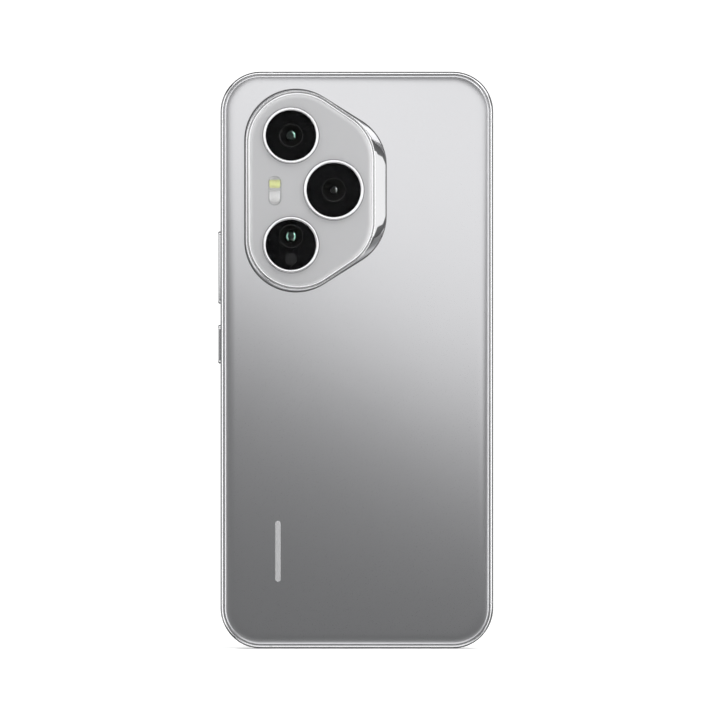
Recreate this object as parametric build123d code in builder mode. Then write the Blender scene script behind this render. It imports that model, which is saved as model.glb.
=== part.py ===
from build123d import *
import os

# A slab smartphone standing upright, in millimetres.
# +Z points to the top end, -Y to the camera side (the back) and +Y to the display.
# The origin is at the middle of the charging port's mouth, on the bottom end.
# A level is a distance from the middle of the thickness towards the back, so it is -Y.

# Outside
WIDTH = 76.1
HEIGHT = 160.8
THICKNESS = 8.1
CORNER = 11.2
HALF_X = WIDTH / 2
MIDDLE_Z = HEIGHT / 2
BACK = THICKNESS / 2
FRONT = -THICKNESS / 2
GAP = 0.05
CUT_PAST = 1.0
SMALL_CORNER = 1.0

# Side frame
FRAME_LEVEL = 3.65
FRAME_WALL = 2.6
FRAME_ROUND = 1.05
RIM = 1.1
GLASS_INSET = RIM + 0.1
PLATE_INSET = 2.2
SHELF_LEVEL = 3.1
INNER_X = HALF_X - FRAME_WALL

# Layers behind the display
REAR_GLASS_LEVEL = 3.25
DISPLAY_GLASS_LEVEL = -3.35
DISPLAY_SHELF_LEVEL = -3.2
PANEL_LEVELS = (-3.3, -2.6)
PANEL_INSET = 2.6
GRAPHITE_LEVELS = (-2.55, -2.45)
GRAPHITE = (60.0, 96.0)
GRAPHITE_CENTRE = (0.0, 88.0)
CHAMBER_LEVELS = (-2.3, -1.8)
CHAMBER = (36.0, 84.0)
CHAMBER_CENTRE = (9.0, 90.0)
CHAMBER_CORNER = 2.9
PLATE_LEVELS = (-2.35, -1.75)
BOARD_LEVELS = (-1.6, -0.9)
COVER_LEVELS = (1.9, 2.5)
BATTERY_LEVELS = (-1.6, 2.5)
FLEX_LEVELS = (2.52, 2.62)
COIL_LEVELS = (2.7, 3.05)
GLASS_EDGE_WIDTH = 2.0
GLASS_EDGE_DROP = 0.42
GLASS_EDGE_BLEND = 6.0
DISPLAY_EDGE_WIDTH = 1.2
DISPLAY_EDGE_DROP = 0.3
DISPLAY_EDGE_BLEND = 4.0

# Camera island: each outline is the hull of four circles, two tall and two on the right
ISLAND_Z = 127.62
ISLAND_BASE = (((-17.0, 14.0), 14.2), ((-6.4, 7.0), 14.5))
ISLAND_TOP = (((-16.5, 13.4), 14.1), ((-9.2, 8.5), 14.1))
DECK_LEVEL = BACK + 2.4
RIM_LIP = 0.8
RIM_BEVEL = 0.2
RIM_WALL = 1.6
PLATE_THICKNESS = 1.1
FLANGE_LEVELS = (2.8, 3.2)
FLANGE_OVERHANG = 1.0

# Cameras: centre, radius of the cover glass, ring radius, housing side, barrel radius
CAMERAS = {
    "upper": ((-18.37, 142.95), 7.0, 7.8, 12.4, 4.0),
    "main": ((-6.45, 127.75), 7.54, 8.4, 13.6, 4.8),
    "lower": ((-18.37, 112.49), 7.0, 7.8, 12.4, 3.6),
}
RING_HEIGHT = 0.95
RING_STEM = 0.5
RING_TAPER = 12
COVER_THICKNESS = 0.8
COVER_SINK = 0.2
COVER_CHAMFER = 0.15
COVER_SHELF = 0.8
HOUSING_CHAMFER = 0.3
HOUSING_LEVELS = (-1.5, 4.9)
BARREL_LEVELS = (1.0, 5.5)
BARREL_GAP = 0.1
BARREL_FLOOR_GAP = 0.2
BARREL_MOUTH_SHARE = 0.62
BARREL_MOUTH_DEPTH = 1.2
BARREL_MOUTH_TAPER = 30
LOWER_BARREL_SHIFT = 2.35

# Flash window and what is under it
FLASH_CENTRE = (-22.86, 127.57)
FLASH_WIDTH = 3.6
FLASH_HEIGHT = 8.2
WINDOW_PROUD = 0.1
LED_OFFSET = 1.9
LED = (2.4, 2.4)
LED_CORNER = 0.3
LED_LEVELS = (4.5, 5.2)
FLASH_BOARD = (4.2, 9.6)
FLASH_BOARD_LEVELS = (4.1, 4.5)
LIGHT_SENSOR = (2.6, 2.6)
LIGHT_SENSOR_LEVELS = (4.95, 5.9)
LIGHT_SENSOR_CENTRE = (-18.37, 108.52)

# Keys on the -X side: middle height, length, offsets of the plungers from the middle
KEYS = {
    "power_key": (84.8, 10.8, (0.0,)),
    "volume_key": (106.2, 20.2, (-6.5, 6.5)),
}
KEY_WIDTH = 2.4
KEY_PROUD = 0.65
KEY_CROWN = 0.35
KEY_CLEARANCE = 0.2
KEY_UNDERSIDE_X = -36.95
KEY_SLOT_FLOOR_X = -36.65
PLUNGER_WIDTH = 1.4
PLUNGER_HOOK_X = (-35.2, -34.9)
HOOK_MARGIN = 0.8
DOME_X = (-34.6, -34.25)
DOME_RADIUS = 1.2
KEY_FLEX_X = (-34.25, -34.05)
KEY_FLEX = (2.6, 37.0)
KEY_FLEX_Z = 96.5
KEY_FLEX_TAIL_X = -33.1
KEY_FLEX_TAIL_Z = 102.5
KEY_FLEX_TAIL_WIDTH = 3.0

# SIM tray on the +X side
TRAY_Z = 105.0
TRAY_LENGTH = 15.4
TRAY_FACE_WIDTH = 2.4
TRAY_FACE_X = (37.05, 38.0)
TRAY_BODY_X = (17.0, 37.05)
TRAY_BODY = (12.2, 1.1)
TRAY_CLEARANCE = 0.2
TRAY_EDGE = 0.15
CARD = (12.3, 8.8, 0.67)
CARD_CENTRE = (27.0, TRAY_Z)
CARD_CORNER = 0.7
CARD_POCKET = 0.8
CARD_CLEARANCE = 0.3
READER_X = (12.0, 34.6)
READER_Z = TRAY_Z + 1.2
READER_HEIGHT = 16.4
READER_HALF = 0.85
READER_WALL = 0.2
PIN_Z = TRAY_Z + 7.0
PIN_RADIUS = 0.45
LEVER_PIVOT = (14.4, TRAY_Z + 2.6)
LEVER = (1.0, 9.2)
LEVER_LEVELS = (-0.4, 0.4)
LEVER_EYE = 1.1
LEVER_BORE = 0.45
PLUNGER_X = (14.95, 35.3)
PLUNGER_CORNER = 0.2

# Charging port
PORT_OUTER = (8.94, 3.26)
PORT_INNER = (8.34, 2.56)
PORT_Z = (0.5, 7.8)
TONGUE = (6.69, 0.7)
TONGUE_SINK = 0.7
PORT_FLOOR = 1.0

# Sound
SPEAKER_HOLES = 6
SPEAKER_HOLE_RADIUS = 0.6
SPEAKER_PITCH = 2.2
SPEAKER_X = 18.0
MIC_RADIUS = 0.5
BOTTOM_MIC_X = -9.0
TOP_MIC_X = 18.0
EAR_SLIT = (11.0, 0.5)
EAR_SLIT_DEPTH = 1.2
EAR_MESH = 0.15
SPEAKER_MESH = 0.2
SPEAKER_MESH_WIDTH = 2.0
LOUDSPEAKER = (22.0, 13.0)
LOUDSPEAKER_CENTRE = (19.5, 11.5)
LOUDSPEAKER_LEVELS = (-0.8, 1.85)
LOUDSPEAKER_FLANGE = (29.0, 12.0)
LOUDSPEAKER_FLANGE_CENTRE = (20.0, 15.0)
LOUDSPEAKER_RISER = (18.0, 10.0)
LOUDSPEAKER_RISER_CENTRE = (20.5, 12.0)
EARPIECE = (15.0, 6.0)
EARPIECE_CENTRE = (14.0, 153.6)
EARPIECE_LEVELS = (-1.5, 1.3)
MICROPHONE = (3.5, 2.6, 1.0)
MICROPHONE_GAP = 0.7
TOP_MIC_SHIFT = 9.0

# Vibration motor
MOTOR_CENTRE = (-24.0, 10.0)
MOTOR = (15.0, 9.0)
MOTOR_LEVELS = (-0.8, 2.2)
MOTOR_WALL = 0.3
MOTOR_MASS = (12.8, 7.8)
MOTOR_MASS_LEVELS = (-0.3, 1.7)
MOTOR_MASS_CORNER = 0.4

# Battery and coil
BATTERY = (64.0, 68.0)
BATTERY_CENTRE = (0.8, 61.0)
BATTERY_CORNER = 2.5
COIL_RADII = (10.0, 23.0)
PULL_TAB = (12.0, 30.0)
PULL_TAB_CENTRE = (0.8, 37.0)
PULL_TAB_LEVELS = (-1.73, -1.62)

# Boards, cans and the flex that joins them
MAIN_BOARD = (25.2, 51.0)
MAIN_BOARD_CENTRE = (21.9, 123.0)
BOARD_STRIP = (43.0, 8.0)
BOARD_STRIP_CENTRE = (-11.5, 101.6)
BOARD_EAR = (4.6, 5.6)
BOARD_EAR_CENTRE = (32.0, 150.5)
BOSS_CLEARANCE = 0.2
CHIP = 6.5
CHIP_HEIGHT = 0.8
CHIP_CENTRES = ((18.0, 122.0), (26.0, 122.0), (22.0, 143.0), (-6.0, 101.6))
CANS = {
    "radio": ((21.0, 123.0), (19.0, 14.0)),
    "power": ((23.0, 142.0), (17.0, 11.0)),
    "memory": ((-2.0, 101.6), (20.0, 7.0)),
}
CAN_HEIGHT = 2.2
CAN_WALL = 0.2
COVER_PLATE = (24.6, 52.0)
COVER_PLATE_CENTRE = (21.6, 123.5)
COVER_EAR = (4.0, 6.0)
COVER_STRIP = (43.0, 5.0)
COVER_STRIP_CENTRE = (-11.0, 101.5)
COVER_CORNER = 1.5
SUB_BOARD = (68.0, 17.0)
SUB_BOARD_CENTRE = (0.0, 15.5)
SUB_BOARD_NOTCH = (9.54, 6.0)
SUB_BOARD_NOTCH_CENTRE = (0.0, 6.0)
FLEX_X = -28.0
FLEX_WIDTH = 6.0
FLEX_ENDS_Z = (24.0, 98.0)
FLEX_SHEET = 0.1
FLEX_FOOT_LEVEL = -0.85

# Screws
SCREW_SPOTS = (
    (32.0, 151.0), (12.0, 137.0), (32.0, 117.0), (-14.0, 101.5), (-30.0, 101.5),
    (-12.0, 10.5), (33.0, 19.5), (7.0, 19.5),
)
SCREW_HEAD = (1.2, 0.27)
SCREW_SHANK = 0.6
SCREW_TIP_LEVEL = 0.2
OPEN_BOSS = 5
BOSS_RADIUS = 1.3

# Antenna breaks: height on both long sides, and x on both ends
BREAK_SIDE_Z = (13.0, 147.0)
BREAK_END_X = -24.0
BREAK_WIDTH = 1.0
BREAK_DEPTH = 1.3

# Front cameras in the pill cut-out: x, body side, nose radius
PILL_CENTRE = (0.0, 151.6)
PILL = (11.0, 4.4)
FRONT_CAMERAS = {
    "front_camera": (-2.9, 5.8, 1.9),
    "front_depth_camera": (3.1, 5.2, 1.6),
}
FRONT_WINDOW = (14.6, 7.0)
FRONT_BODY_LEVELS = (-2.45, 1.75)
FRONT_NOSE_LEVELS = (-3.25, -2.45)
FRONT_BODY_CORNER = 0.5
FRONT_BORE_SHARE = 0.55
FRONT_BORE_DEPTH = 0.4

# Fingerprint sensor under the display
FINGERPRINT = (8.0, 8.0)
FINGERPRINT_CENTRE = (0.0, 17.5)
FINGERPRINT_LEVELS = (-2.45, -1.65)
FINGERPRINT_CORNER = 0.8
FINGERPRINT_GAP = 0.4


def layer(level):
    """Plane parallel to the display, at a level behind the middle of the thickness."""
    return Plane.XZ.offset(level)


def phone_outline(inset, mode=Mode.ADD):
    """The phone's outline, brought in by an inset, as a face of the open sketch."""
    with Locations((0, MIDDLE_Z)):
        RectangleRounded(WIDTH - 2 * inset, HEIGHT - 2 * inset, CORNER - inset, mode=mode)


def island_outline(circles, grow=0.0):
    """The camera island's outline, grown outwards, as a face of the open sketch."""
    for (x, z), radius in circles:
        with Locations((x, ISLAND_Z + z), (x, ISLAND_Z - z)):
            Circle(radius + grow)
    make_hull()


def slab(name, levels, size, centre, corner=0.0):
    """A plate between two levels, with rounded corners where a corner radius is given."""
    with BuildPart() as plate:
        with BuildSketch(layer(levels[0])):
            with Locations(centre):
                if corner:
                    RectangleRounded(*size, corner)
                else:
                    Rectangle(*size)
        extrude(amount=levels[1] - levels[0])
    plate.part.label = name
    return plate


def save(piece, name):
    """Labels a finished piece and writes it to its own file."""
    piece.part.label = name
    export_step(piece.part, f"parts/{name}.step")


os.makedirs("parts", exist_ok=True)

# The side frame, with its pockets for both glasses, key slots, tray slot, port and holes
with BuildPart() as frame_ring:
    with BuildSketch(layer(-FRAME_LEVEL)):
        phone_outline(0)
    extrude(amount=2 * FRAME_LEVEL)
    faces = frame_ring.faces().sort_by(Axis.Y)
    fillet(faces[0].edges() + faces[-1].edges(), radius=FRAME_ROUND)
    with BuildSketch(layer(-FRAME_LEVEL)):
        phone_outline(FRAME_WALL)
    extrude(amount=2 * FRAME_LEVEL, mode=Mode.SUBTRACT)
    with BuildSketch(layer(SHELF_LEVEL)):
        phone_outline(RIM)
    extrude(amount=FRAME_LEVEL - SHELF_LEVEL, mode=Mode.SUBTRACT)
    with BuildSketch(layer(-FRAME_LEVEL)):
        phone_outline(RIM)
    extrude(amount=FRAME_LEVEL + DISPLAY_SHELF_LEVEL, mode=Mode.SUBTRACT)
    with BuildSketch(layer(-FRAME_LEVEL)):
        phone_outline(PLATE_INSET)
    extrude(amount=FRAME_LEVEL + PLATE_LEVELS[1], mode=Mode.SUBTRACT)
    # Key slots with their plunger holes
    for key_z, key_length, offsets in KEYS.values():
        with BuildSketch(Plane.YZ.offset(-HALF_X)):
            with Locations((0, key_z)):
                SlotOverall(key_length + KEY_CLEARANCE, KEY_WIDTH + KEY_CLEARANCE, rotation=90)
        extrude(amount=HALF_X + KEY_SLOT_FLOOR_X, mode=Mode.SUBTRACT)
        with BuildSketch(Plane.YZ.offset(-HALF_X)):
            with Locations(*[(0, key_z + offset) for offset in offsets]):
                Rectangle(PLUNGER_WIDTH + KEY_CLEARANCE, PLUNGER_WIDTH + 2 * KEY_CLEARANCE)
        extrude(amount=FRAME_WALL + CUT_PAST, mode=Mode.SUBTRACT)
    # SIM tray slot, its face recess and the eject pin's hole
    with BuildSketch(Plane.YZ.offset(TRAY_FACE_X[0] - GAP)):
        with Locations((0, TRAY_Z)):
            SlotOverall(
                TRAY_LENGTH + TRAY_CLEARANCE, TRAY_FACE_WIDTH + TRAY_CLEARANCE, rotation=90)
    extrude(amount=FRAME_WALL, mode=Mode.SUBTRACT)
    with BuildSketch(Plane.YZ.offset(INNER_X - CUT_PAST)):
        with Locations((0, TRAY_Z)):
            Rectangle(TRAY_BODY[1] + TRAY_CLEARANCE, TRAY_BODY[0] + TRAY_CLEARANCE)
        with Locations((0, PIN_Z)):
            Circle(PIN_RADIUS + 2 * GAP)
    extrude(amount=FRAME_WALL + CUT_PAST, mode=Mode.SUBTRACT)
    # Bottom end: charging port, loudspeaker holes and microphone
    with BuildSketch(Plane.XY):
        SlotOverall(PORT_OUTER[0] + 2 * GAP, PORT_OUTER[1] + 2 * GAP)
        with Locations((SPEAKER_X, 0)):
            with GridLocations(SPEAKER_PITCH, 1, SPEAKER_HOLES, 1):
                Circle(SPEAKER_HOLE_RADIUS)
        with Locations((BOTTOM_MIC_X, 0)):
            Circle(MIC_RADIUS)
    extrude(amount=FRAME_WALL + GAP, mode=Mode.SUBTRACT)
    # Top end: microphone, and the earpiece slit beside the display glass
    with BuildSketch(Plane.XY.offset(HEIGHT - FRAME_WALL - GAP)):
        with Locations((TOP_MIC_X, 0)):
            Circle(MIC_RADIUS)
    extrude(amount=FRAME_WALL + GAP, mode=Mode.SUBTRACT)
    with BuildSketch(layer(-FRAME_LEVEL)):
        with Locations((0, HEIGHT - RIM)):
            Rectangle(EAR_SLIT[0], 2 * EAR_SLIT[1])
    extrude(amount=EAR_SLIT_DEPTH, mode=Mode.SUBTRACT)

# Antenna breaks: shallow cuts across the frame, filled by plastic of the same outline
with BuildPart() as break_tools:
    for side in (-1, 1):
        for z in BREAK_SIDE_Z:
            with Locations((side * HALF_X, 0, z)):
                Box(2 * BREAK_DEPTH, THICKNESS, BREAK_WIDTH)
    with Locations((BREAK_END_X, 0, HEIGHT), (BREAK_END_X, 0, 0)):
        Box(BREAK_WIDTH, THICKNESS, 2 * BREAK_DEPTH)

with BuildPart() as antenna_bands:
    add(frame_ring.part)
    add(break_tools.part, mode=Mode.INTERSECT)
save(antenna_bands, "antenna_bands")

with BuildPart() as side_frame:
    add(frame_ring.part)
    add(break_tools.part, mode=Mode.SUBTRACT)
save(side_frame, "side_frame")

# Inner plate behind the display, with a window for the vapour chamber and screw bosses
with BuildPart() as mid_plate:
    with BuildSketch(layer(PLATE_LEVELS[0])):
        phone_outline(PLATE_INSET + GAP)
        with Locations(CHAMBER_CENTRE):
            RectangleRounded(
                CHAMBER[0] + 2 * GAP, CHAMBER[1] + 2 * GAP, CHAMBER_CORNER + GAP,
                mode=Mode.SUBTRACT,
            )
        with Locations(PILL_CENTRE):
            RectangleRounded(*FRONT_WINDOW, SMALL_CORNER, mode=Mode.SUBTRACT)
        with Locations(FINGERPRINT_CENTRE):
            RectangleRounded(
                FINGERPRINT[0] + FINGERPRINT_GAP, FINGERPRINT[1] + FINGERPRINT_GAP,
                FINGERPRINT_CORNER, mode=Mode.SUBTRACT,
            )
    extrude(amount=PLATE_LEVELS[1] - PLATE_LEVELS[0])
    with BuildSketch(layer(PLATE_LEVELS[1])):
        with Locations(*SCREW_SPOTS):
            Circle(BOSS_RADIUS)
    extrude(amount=COVER_LEVELS[0] - PLATE_LEVELS[1])
    with BuildSketch(layer(0)):
        with Locations(*SCREW_SPOTS):
            Circle(SCREW_SHANK + GAP)
    extrude(amount=COVER_LEVELS[0], mode=Mode.SUBTRACT)
save(mid_plate, "mid_plate")

save(
    slab("vapour_chamber", CHAMBER_LEVELS, CHAMBER, CHAMBER_CENTRE, CHAMBER_CORNER),
    "vapour_chamber",
)
save(
    slab("graphite_sheet", GRAPHITE_LEVELS, GRAPHITE, GRAPHITE_CENTRE, SMALL_CORNER),
    "graphite_sheet",
)

# Rear glass: an asymmetric bevel blended into the flat gives its curved edge
with BuildPart() as rear_cover:
    with BuildSketch(layer(REAR_GLASS_LEVEL)):
        phone_outline(GLASS_INSET)
    extrude(amount=BACK - REAR_GLASS_LEVEL)
    outer = rear_cover.faces().sort_by(Axis.Y)[0]
    chamfer(outer.edges(), length=GLASS_EDGE_WIDTH, length2=GLASS_EDGE_DROP, reference=outer)
    outer = rear_cover.faces().sort_by(Axis.Y)[0]
    fillet(outer.edges(), radius=GLASS_EDGE_BLEND)
    with BuildSketch(layer(REAR_GLASS_LEVEL)):
        island_outline(ISLAND_BASE, GAP)
    extrude(amount=THICKNESS, mode=Mode.SUBTRACT)
save(rear_cover, "rear_cover")

with BuildPart() as rear_cover_adhesive:
    with BuildSketch(layer(SHELF_LEVEL)):
        phone_outline(GLASS_INSET + 2 * GAP)
        phone_outline(FRAME_WALL, Mode.SUBTRACT)
    extrude(amount=REAR_GLASS_LEVEL - SHELF_LEVEL)
save(rear_cover_adhesive, "rear_cover_adhesive")

# Display side
with BuildPart() as display_glass:
    with BuildSketch(layer(FRONT)):
        phone_outline(GLASS_INSET)
    extrude(amount=DISPLAY_GLASS_LEVEL - FRONT)
    outer = display_glass.faces().sort_by(Axis.Y)[-1]
    chamfer(
        outer.edges(), length=DISPLAY_EDGE_WIDTH, length2=DISPLAY_EDGE_DROP, reference=outer)
    outer = display_glass.faces().sort_by(Axis.Y)[-1]
    fillet(outer.edges(), radius=DISPLAY_EDGE_BLEND)
save(display_glass, "display_glass")

with BuildPart() as display_adhesive:
    with BuildSketch(layer(DISPLAY_GLASS_LEVEL)):
        phone_outline(GLASS_INSET + 2 * GAP)
        phone_outline(PLATE_INSET, Mode.SUBTRACT)
        with Locations((0, HEIGHT - RIM)):
            Rectangle(EAR_SLIT[0] + CUT_PAST, 3 * EAR_SLIT[1], mode=Mode.SUBTRACT)
    extrude(amount=DISPLAY_SHELF_LEVEL - DISPLAY_GLASS_LEVEL)
save(display_adhesive, "display_adhesive")

with BuildPart() as display_panel:
    with BuildSketch(layer(PANEL_LEVELS[0])):
        phone_outline(PANEL_INSET)
        with Locations(PILL_CENTRE):
            SlotOverall(*PILL, mode=Mode.SUBTRACT)
    extrude(amount=PANEL_LEVELS[1] - PANEL_LEVELS[0])
save(display_panel, "display_panel")

for name, (lens_x, side, nose) in FRONT_CAMERAS.items():
    with BuildPart() as selfie:
        with BuildSketch(layer(FRONT_BODY_LEVELS[0])):
            with Locations((lens_x, PILL_CENTRE[1])):
                RectangleRounded(side, side, FRONT_BODY_CORNER)
        extrude(amount=FRONT_BODY_LEVELS[1] - FRONT_BODY_LEVELS[0])
        with BuildSketch(layer(FRONT_NOSE_LEVELS[0])):
            with Locations((lens_x, PILL_CENTRE[1])):
                Circle(nose)
        extrude(amount=FRONT_NOSE_LEVELS[1] - FRONT_NOSE_LEVELS[0])
        with BuildSketch(layer(FRONT_NOSE_LEVELS[0])):
            with Locations((lens_x, PILL_CENTRE[1])):
                Circle(nose * FRONT_BORE_SHARE)
        extrude(amount=FRONT_BORE_DEPTH, mode=Mode.SUBTRACT)
    save(selfie, name)

save(
    slab("fingerprint_sensor", FINGERPRINT_LEVELS, FINGERPRINT, FINGERPRINT_CENTRE,
         FINGERPRINT_CORNER),
    "fingerprint_sensor",
)

# Camera island: a sloping metal rim around a satin deck
with BuildPart() as island_rim:
    with BuildSketch(layer(BACK)):
        island_outline(ISLAND_BASE)
    with BuildSketch(layer(DECK_LEVEL)):
        island_outline(ISLAND_TOP)
    loft(ruled=True)
    with BuildSketch(layer(DECK_LEVEL)):
        island_outline(ISLAND_TOP)
    with BuildSketch(layer(DECK_LEVEL + RIM_BEVEL)):
        island_outline(ISLAND_TOP, -RIM_BEVEL)
    loft(ruled=True)
    with BuildSketch(layer(FLANGE_LEVELS[1])):
        island_outline(ISLAND_BASE)
    extrude(amount=BACK - FLANGE_LEVELS[1])
    with BuildSketch(layer(FLANGE_LEVELS[0])):
        island_outline(ISLAND_BASE, FLANGE_OVERHANG)
    extrude(amount=FLANGE_LEVELS[1] - FLANGE_LEVELS[0])
    with BuildSketch(layer(DECK_LEVEL - PLATE_THICKNESS)):
        island_outline(ISLAND_TOP, -RIM_LIP)
    extrude(amount=PLATE_THICKNESS + RIM_BEVEL, mode=Mode.SUBTRACT)
    with BuildSketch(layer(FLANGE_LEVELS[0])):
        island_outline(ISLAND_TOP, -RIM_WALL)
    extrude(amount=DECK_LEVEL - FLANGE_LEVELS[0], mode=Mode.SUBTRACT)
save(island_rim, "island_rim")

with BuildPart() as island_deck:
    with BuildSketch(layer(DECK_LEVEL - PLATE_THICKNESS)):
        island_outline(ISLAND_TOP, -RIM_LIP - GAP)
        for camera in CAMERAS.values():
            with Locations(camera[0]):
                Circle(camera[1] + GAP + RING_STEM + GAP, mode=Mode.SUBTRACT)
        with Locations(FLASH_CENTRE):
            SlotOverall(FLASH_HEIGHT, FLASH_WIDTH, rotation=90, mode=Mode.SUBTRACT)
    extrude(amount=PLATE_THICKNESS - GAP)
save(island_deck, "island_deck")

# Each camera: a turned ring, its cover glass, a housing and a barrel that moves to focus
for name, (centre, cover, ring, side, barrel) in CAMERAS.items():
    barrel_centre = (centre[0], centre[1] + (LOWER_BARREL_SHIFT if name == "lower" else 0))
    bore = cover + GAP
    with BuildPart() as lens_ring:
        with BuildSketch(layer(DECK_LEVEL - PLATE_THICKNESS)):
            with Locations(centre):
                Circle(bore + RING_STEM)
        extrude(amount=PLATE_THICKNESS)
        with BuildSketch(layer(DECK_LEVEL)):
            with Locations(centre):
                Circle(ring)
        extrude(amount=RING_HEIGHT, taper=RING_TAPER)
        with BuildSketch(layer(DECK_LEVEL + RING_HEIGHT - COVER_SINK - COVER_THICKNESS - GAP)):
            with Locations(centre):
                Circle(bore)
        extrude(amount=COVER_THICKNESS + COVER_SINK + GAP, mode=Mode.SUBTRACT)
        with BuildSketch(layer(DECK_LEVEL - PLATE_THICKNESS)):
            with Locations(centre):
                Circle(bore - COVER_SHELF)
        extrude(amount=PLATE_THICKNESS + RING_HEIGHT, mode=Mode.SUBTRACT)
    save(lens_ring, f"{name}_lens_ring")

    with BuildPart() as lens_cover:
        with BuildSketch(layer(DECK_LEVEL + RING_HEIGHT - COVER_SINK - COVER_THICKNESS)):
            with Locations(centre):
                Circle(cover)
        extrude(amount=COVER_THICKNESS)
        outer = lens_cover.faces().sort_by(Axis.Y)[0]
        chamfer(outer.edges(), length=COVER_CHAMFER)
    save(lens_cover, f"{name}_lens_cover")

    with BuildPart() as housing:
        with BuildSketch(layer(HOUSING_LEVELS[0])):
            with Locations(centre):
                RectangleRounded(side, side, SMALL_CORNER)
        extrude(amount=HOUSING_LEVELS[1] - HOUSING_LEVELS[0])
        outer = housing.faces().sort_by(Axis.Y)[0]
        chamfer(outer.edges(), length=HOUSING_CHAMFER)
        with BuildSketch(layer(BARREL_LEVELS[0] - BARREL_FLOOR_GAP)):
            with Locations(barrel_centre):
                Circle(barrel + BARREL_GAP)
        extrude(amount=HOUSING_LEVELS[1], mode=Mode.SUBTRACT)
    save(housing, f"{name}_camera_housing")

    with BuildPart() as lens_barrel:
        with BuildSketch(layer(BARREL_LEVELS[0])):
            with Locations(barrel_centre):
                Circle(barrel)
        extrude(amount=BARREL_LEVELS[1] - BARREL_LEVELS[0])
        with BuildSketch(layer(BARREL_LEVELS[1])):
            with Locations(barrel_centre):
                Circle(barrel * BARREL_MOUTH_SHARE)
        extrude(amount=-BARREL_MOUTH_DEPTH, taper=BARREL_MOUTH_TAPER, mode=Mode.SUBTRACT)
        outer = lens_barrel.faces().sort_by(Axis.Y)[0].edges().sort_by(SortBy.LENGTH)[-1]
        chamfer(outer, length=HOUSING_CHAMFER)
    save(lens_barrel, f"{name}_lens_barrel")

# Flash: a clear pill over a warm and a cool light, on one small board
with BuildPart() as flash_window:
    with BuildSketch(layer(DECK_LEVEL - PLATE_THICKNESS)):
        with Locations(FLASH_CENTRE):
            SlotOverall(FLASH_HEIGHT - 2 * GAP, FLASH_WIDTH - 2 * GAP, rotation=90)
    extrude(amount=PLATE_THICKNESS + WINDOW_PROUD)
save(flash_window, "flash_window")

for name, z_side in (("flash_led_warm", 1), ("flash_led_cool", -1)):
    led_centre = (FLASH_CENTRE[0], FLASH_CENTRE[1] + z_side * LED_OFFSET)
    save(slab(name, LED_LEVELS, LED, led_centre, LED_CORNER), name)
save(
    slab("flash_board", FLASH_BOARD_LEVELS, FLASH_BOARD, FLASH_CENTRE, LED_CORNER),
    "flash_board",
)

# Light sensor in the lower lens's window
save(
    slab("light_sensor", LIGHT_SENSOR_LEVELS, LIGHT_SENSOR, LIGHT_SENSOR_CENTRE, LED_CORNER),
    "light_sensor",
)

# Side keys: a crowned cap with plungers that hook behind the frame's wall
for name, (key_z, key_length, offsets) in KEYS.items():
    with BuildPart() as key:
        with BuildSketch(Plane.YZ.offset(-HALF_X - KEY_PROUD)):
            with Locations((0, key_z)):
                SlotOverall(key_length, KEY_WIDTH, rotation=90)
        extrude(amount=HALF_X + KEY_PROUD + KEY_UNDERSIDE_X)
        crown = key.faces().sort_by(Axis.X)[0]
        fillet(crown.edges(), radius=KEY_CROWN)
        with BuildSketch(Plane.YZ.offset(KEY_UNDERSIDE_X)):
            with Locations(*[(0, key_z + offset) for offset in offsets]):
                Rectangle(PLUNGER_WIDTH, PLUNGER_WIDTH)
        extrude(amount=PLUNGER_HOOK_X[1] - KEY_UNDERSIDE_X)
        with BuildSketch(Plane.YZ.offset(PLUNGER_HOOK_X[0])):
            with Locations(*[(0, key_z + offset) for offset in offsets]):
                Rectangle(PLUNGER_WIDTH + HOOK_MARGIN, PLUNGER_WIDTH + HOOK_MARGIN)
        extrude(amount=PLUNGER_HOOK_X[1] - PLUNGER_HOOK_X[0])
    save(key, name)

with BuildPart() as key_flex:
    with BuildSketch(Plane.YZ.offset(KEY_FLEX_X[0])):
        with Locations((0, KEY_FLEX_Z)):
            Rectangle(*KEY_FLEX)
    extrude(amount=KEY_FLEX_X[1] - KEY_FLEX_X[0])
    for key_z, key_length, offsets in KEYS.values():
        with BuildSketch(Plane.YZ.offset(DOME_X[0])):
            with Locations(*[(0, key_z + offset) for offset in offsets]):
                Circle(DOME_RADIUS)
        extrude(amount=DOME_X[1] - DOME_X[0])
    with Locations(((KEY_FLEX_X[0] + KEY_FLEX_TAIL_X) / 2, 0, KEY_FLEX_TAIL_Z)):
        Box(KEY_FLEX_TAIL_X - KEY_FLEX_X[0], KEY_FLEX[0], KEY_FLEX_TAIL_WIDTH)
save(key_flex, "key_flex")

# SIM tray with its card, reader and eject gear
with BuildPart() as sim_tray:
    with BuildSketch(Plane.YZ.offset(TRAY_FACE_X[0])):
        with Locations((0, TRAY_Z)):
            SlotOverall(TRAY_LENGTH, TRAY_FACE_WIDTH, rotation=90)
    extrude(amount=TRAY_FACE_X[1] - TRAY_FACE_X[0])
    fillet(sim_tray.faces().sort_by(Axis.X)[-1].edges(), radius=TRAY_EDGE)
    with BuildSketch(Plane.YZ.offset(TRAY_BODY_X[0])):
        with Locations((0, TRAY_Z)):
            Rectangle(TRAY_BODY[1], TRAY_BODY[0])
    extrude(amount=TRAY_BODY_X[1] - TRAY_BODY_X[0])
    with BuildSketch(Plane.XZ.offset(TRAY_BODY[1] / 2)):
        with Locations(CARD_CENTRE):
            RectangleRounded(CARD[0] + CARD_CLEARANCE, CARD[1] + CARD_CLEARANCE, CARD_CORNER)
    extrude(amount=-CARD_POCKET, mode=Mode.SUBTRACT)
    with BuildSketch(Plane.YZ.offset(TRAY_FACE_X[0])):
        with Locations((0, PIN_Z)):
            Circle(PIN_RADIUS)
    extrude(amount=TRAY_FACE_X[1] - TRAY_FACE_X[0], mode=Mode.SUBTRACT)
save(sim_tray, "sim_tray")

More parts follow.
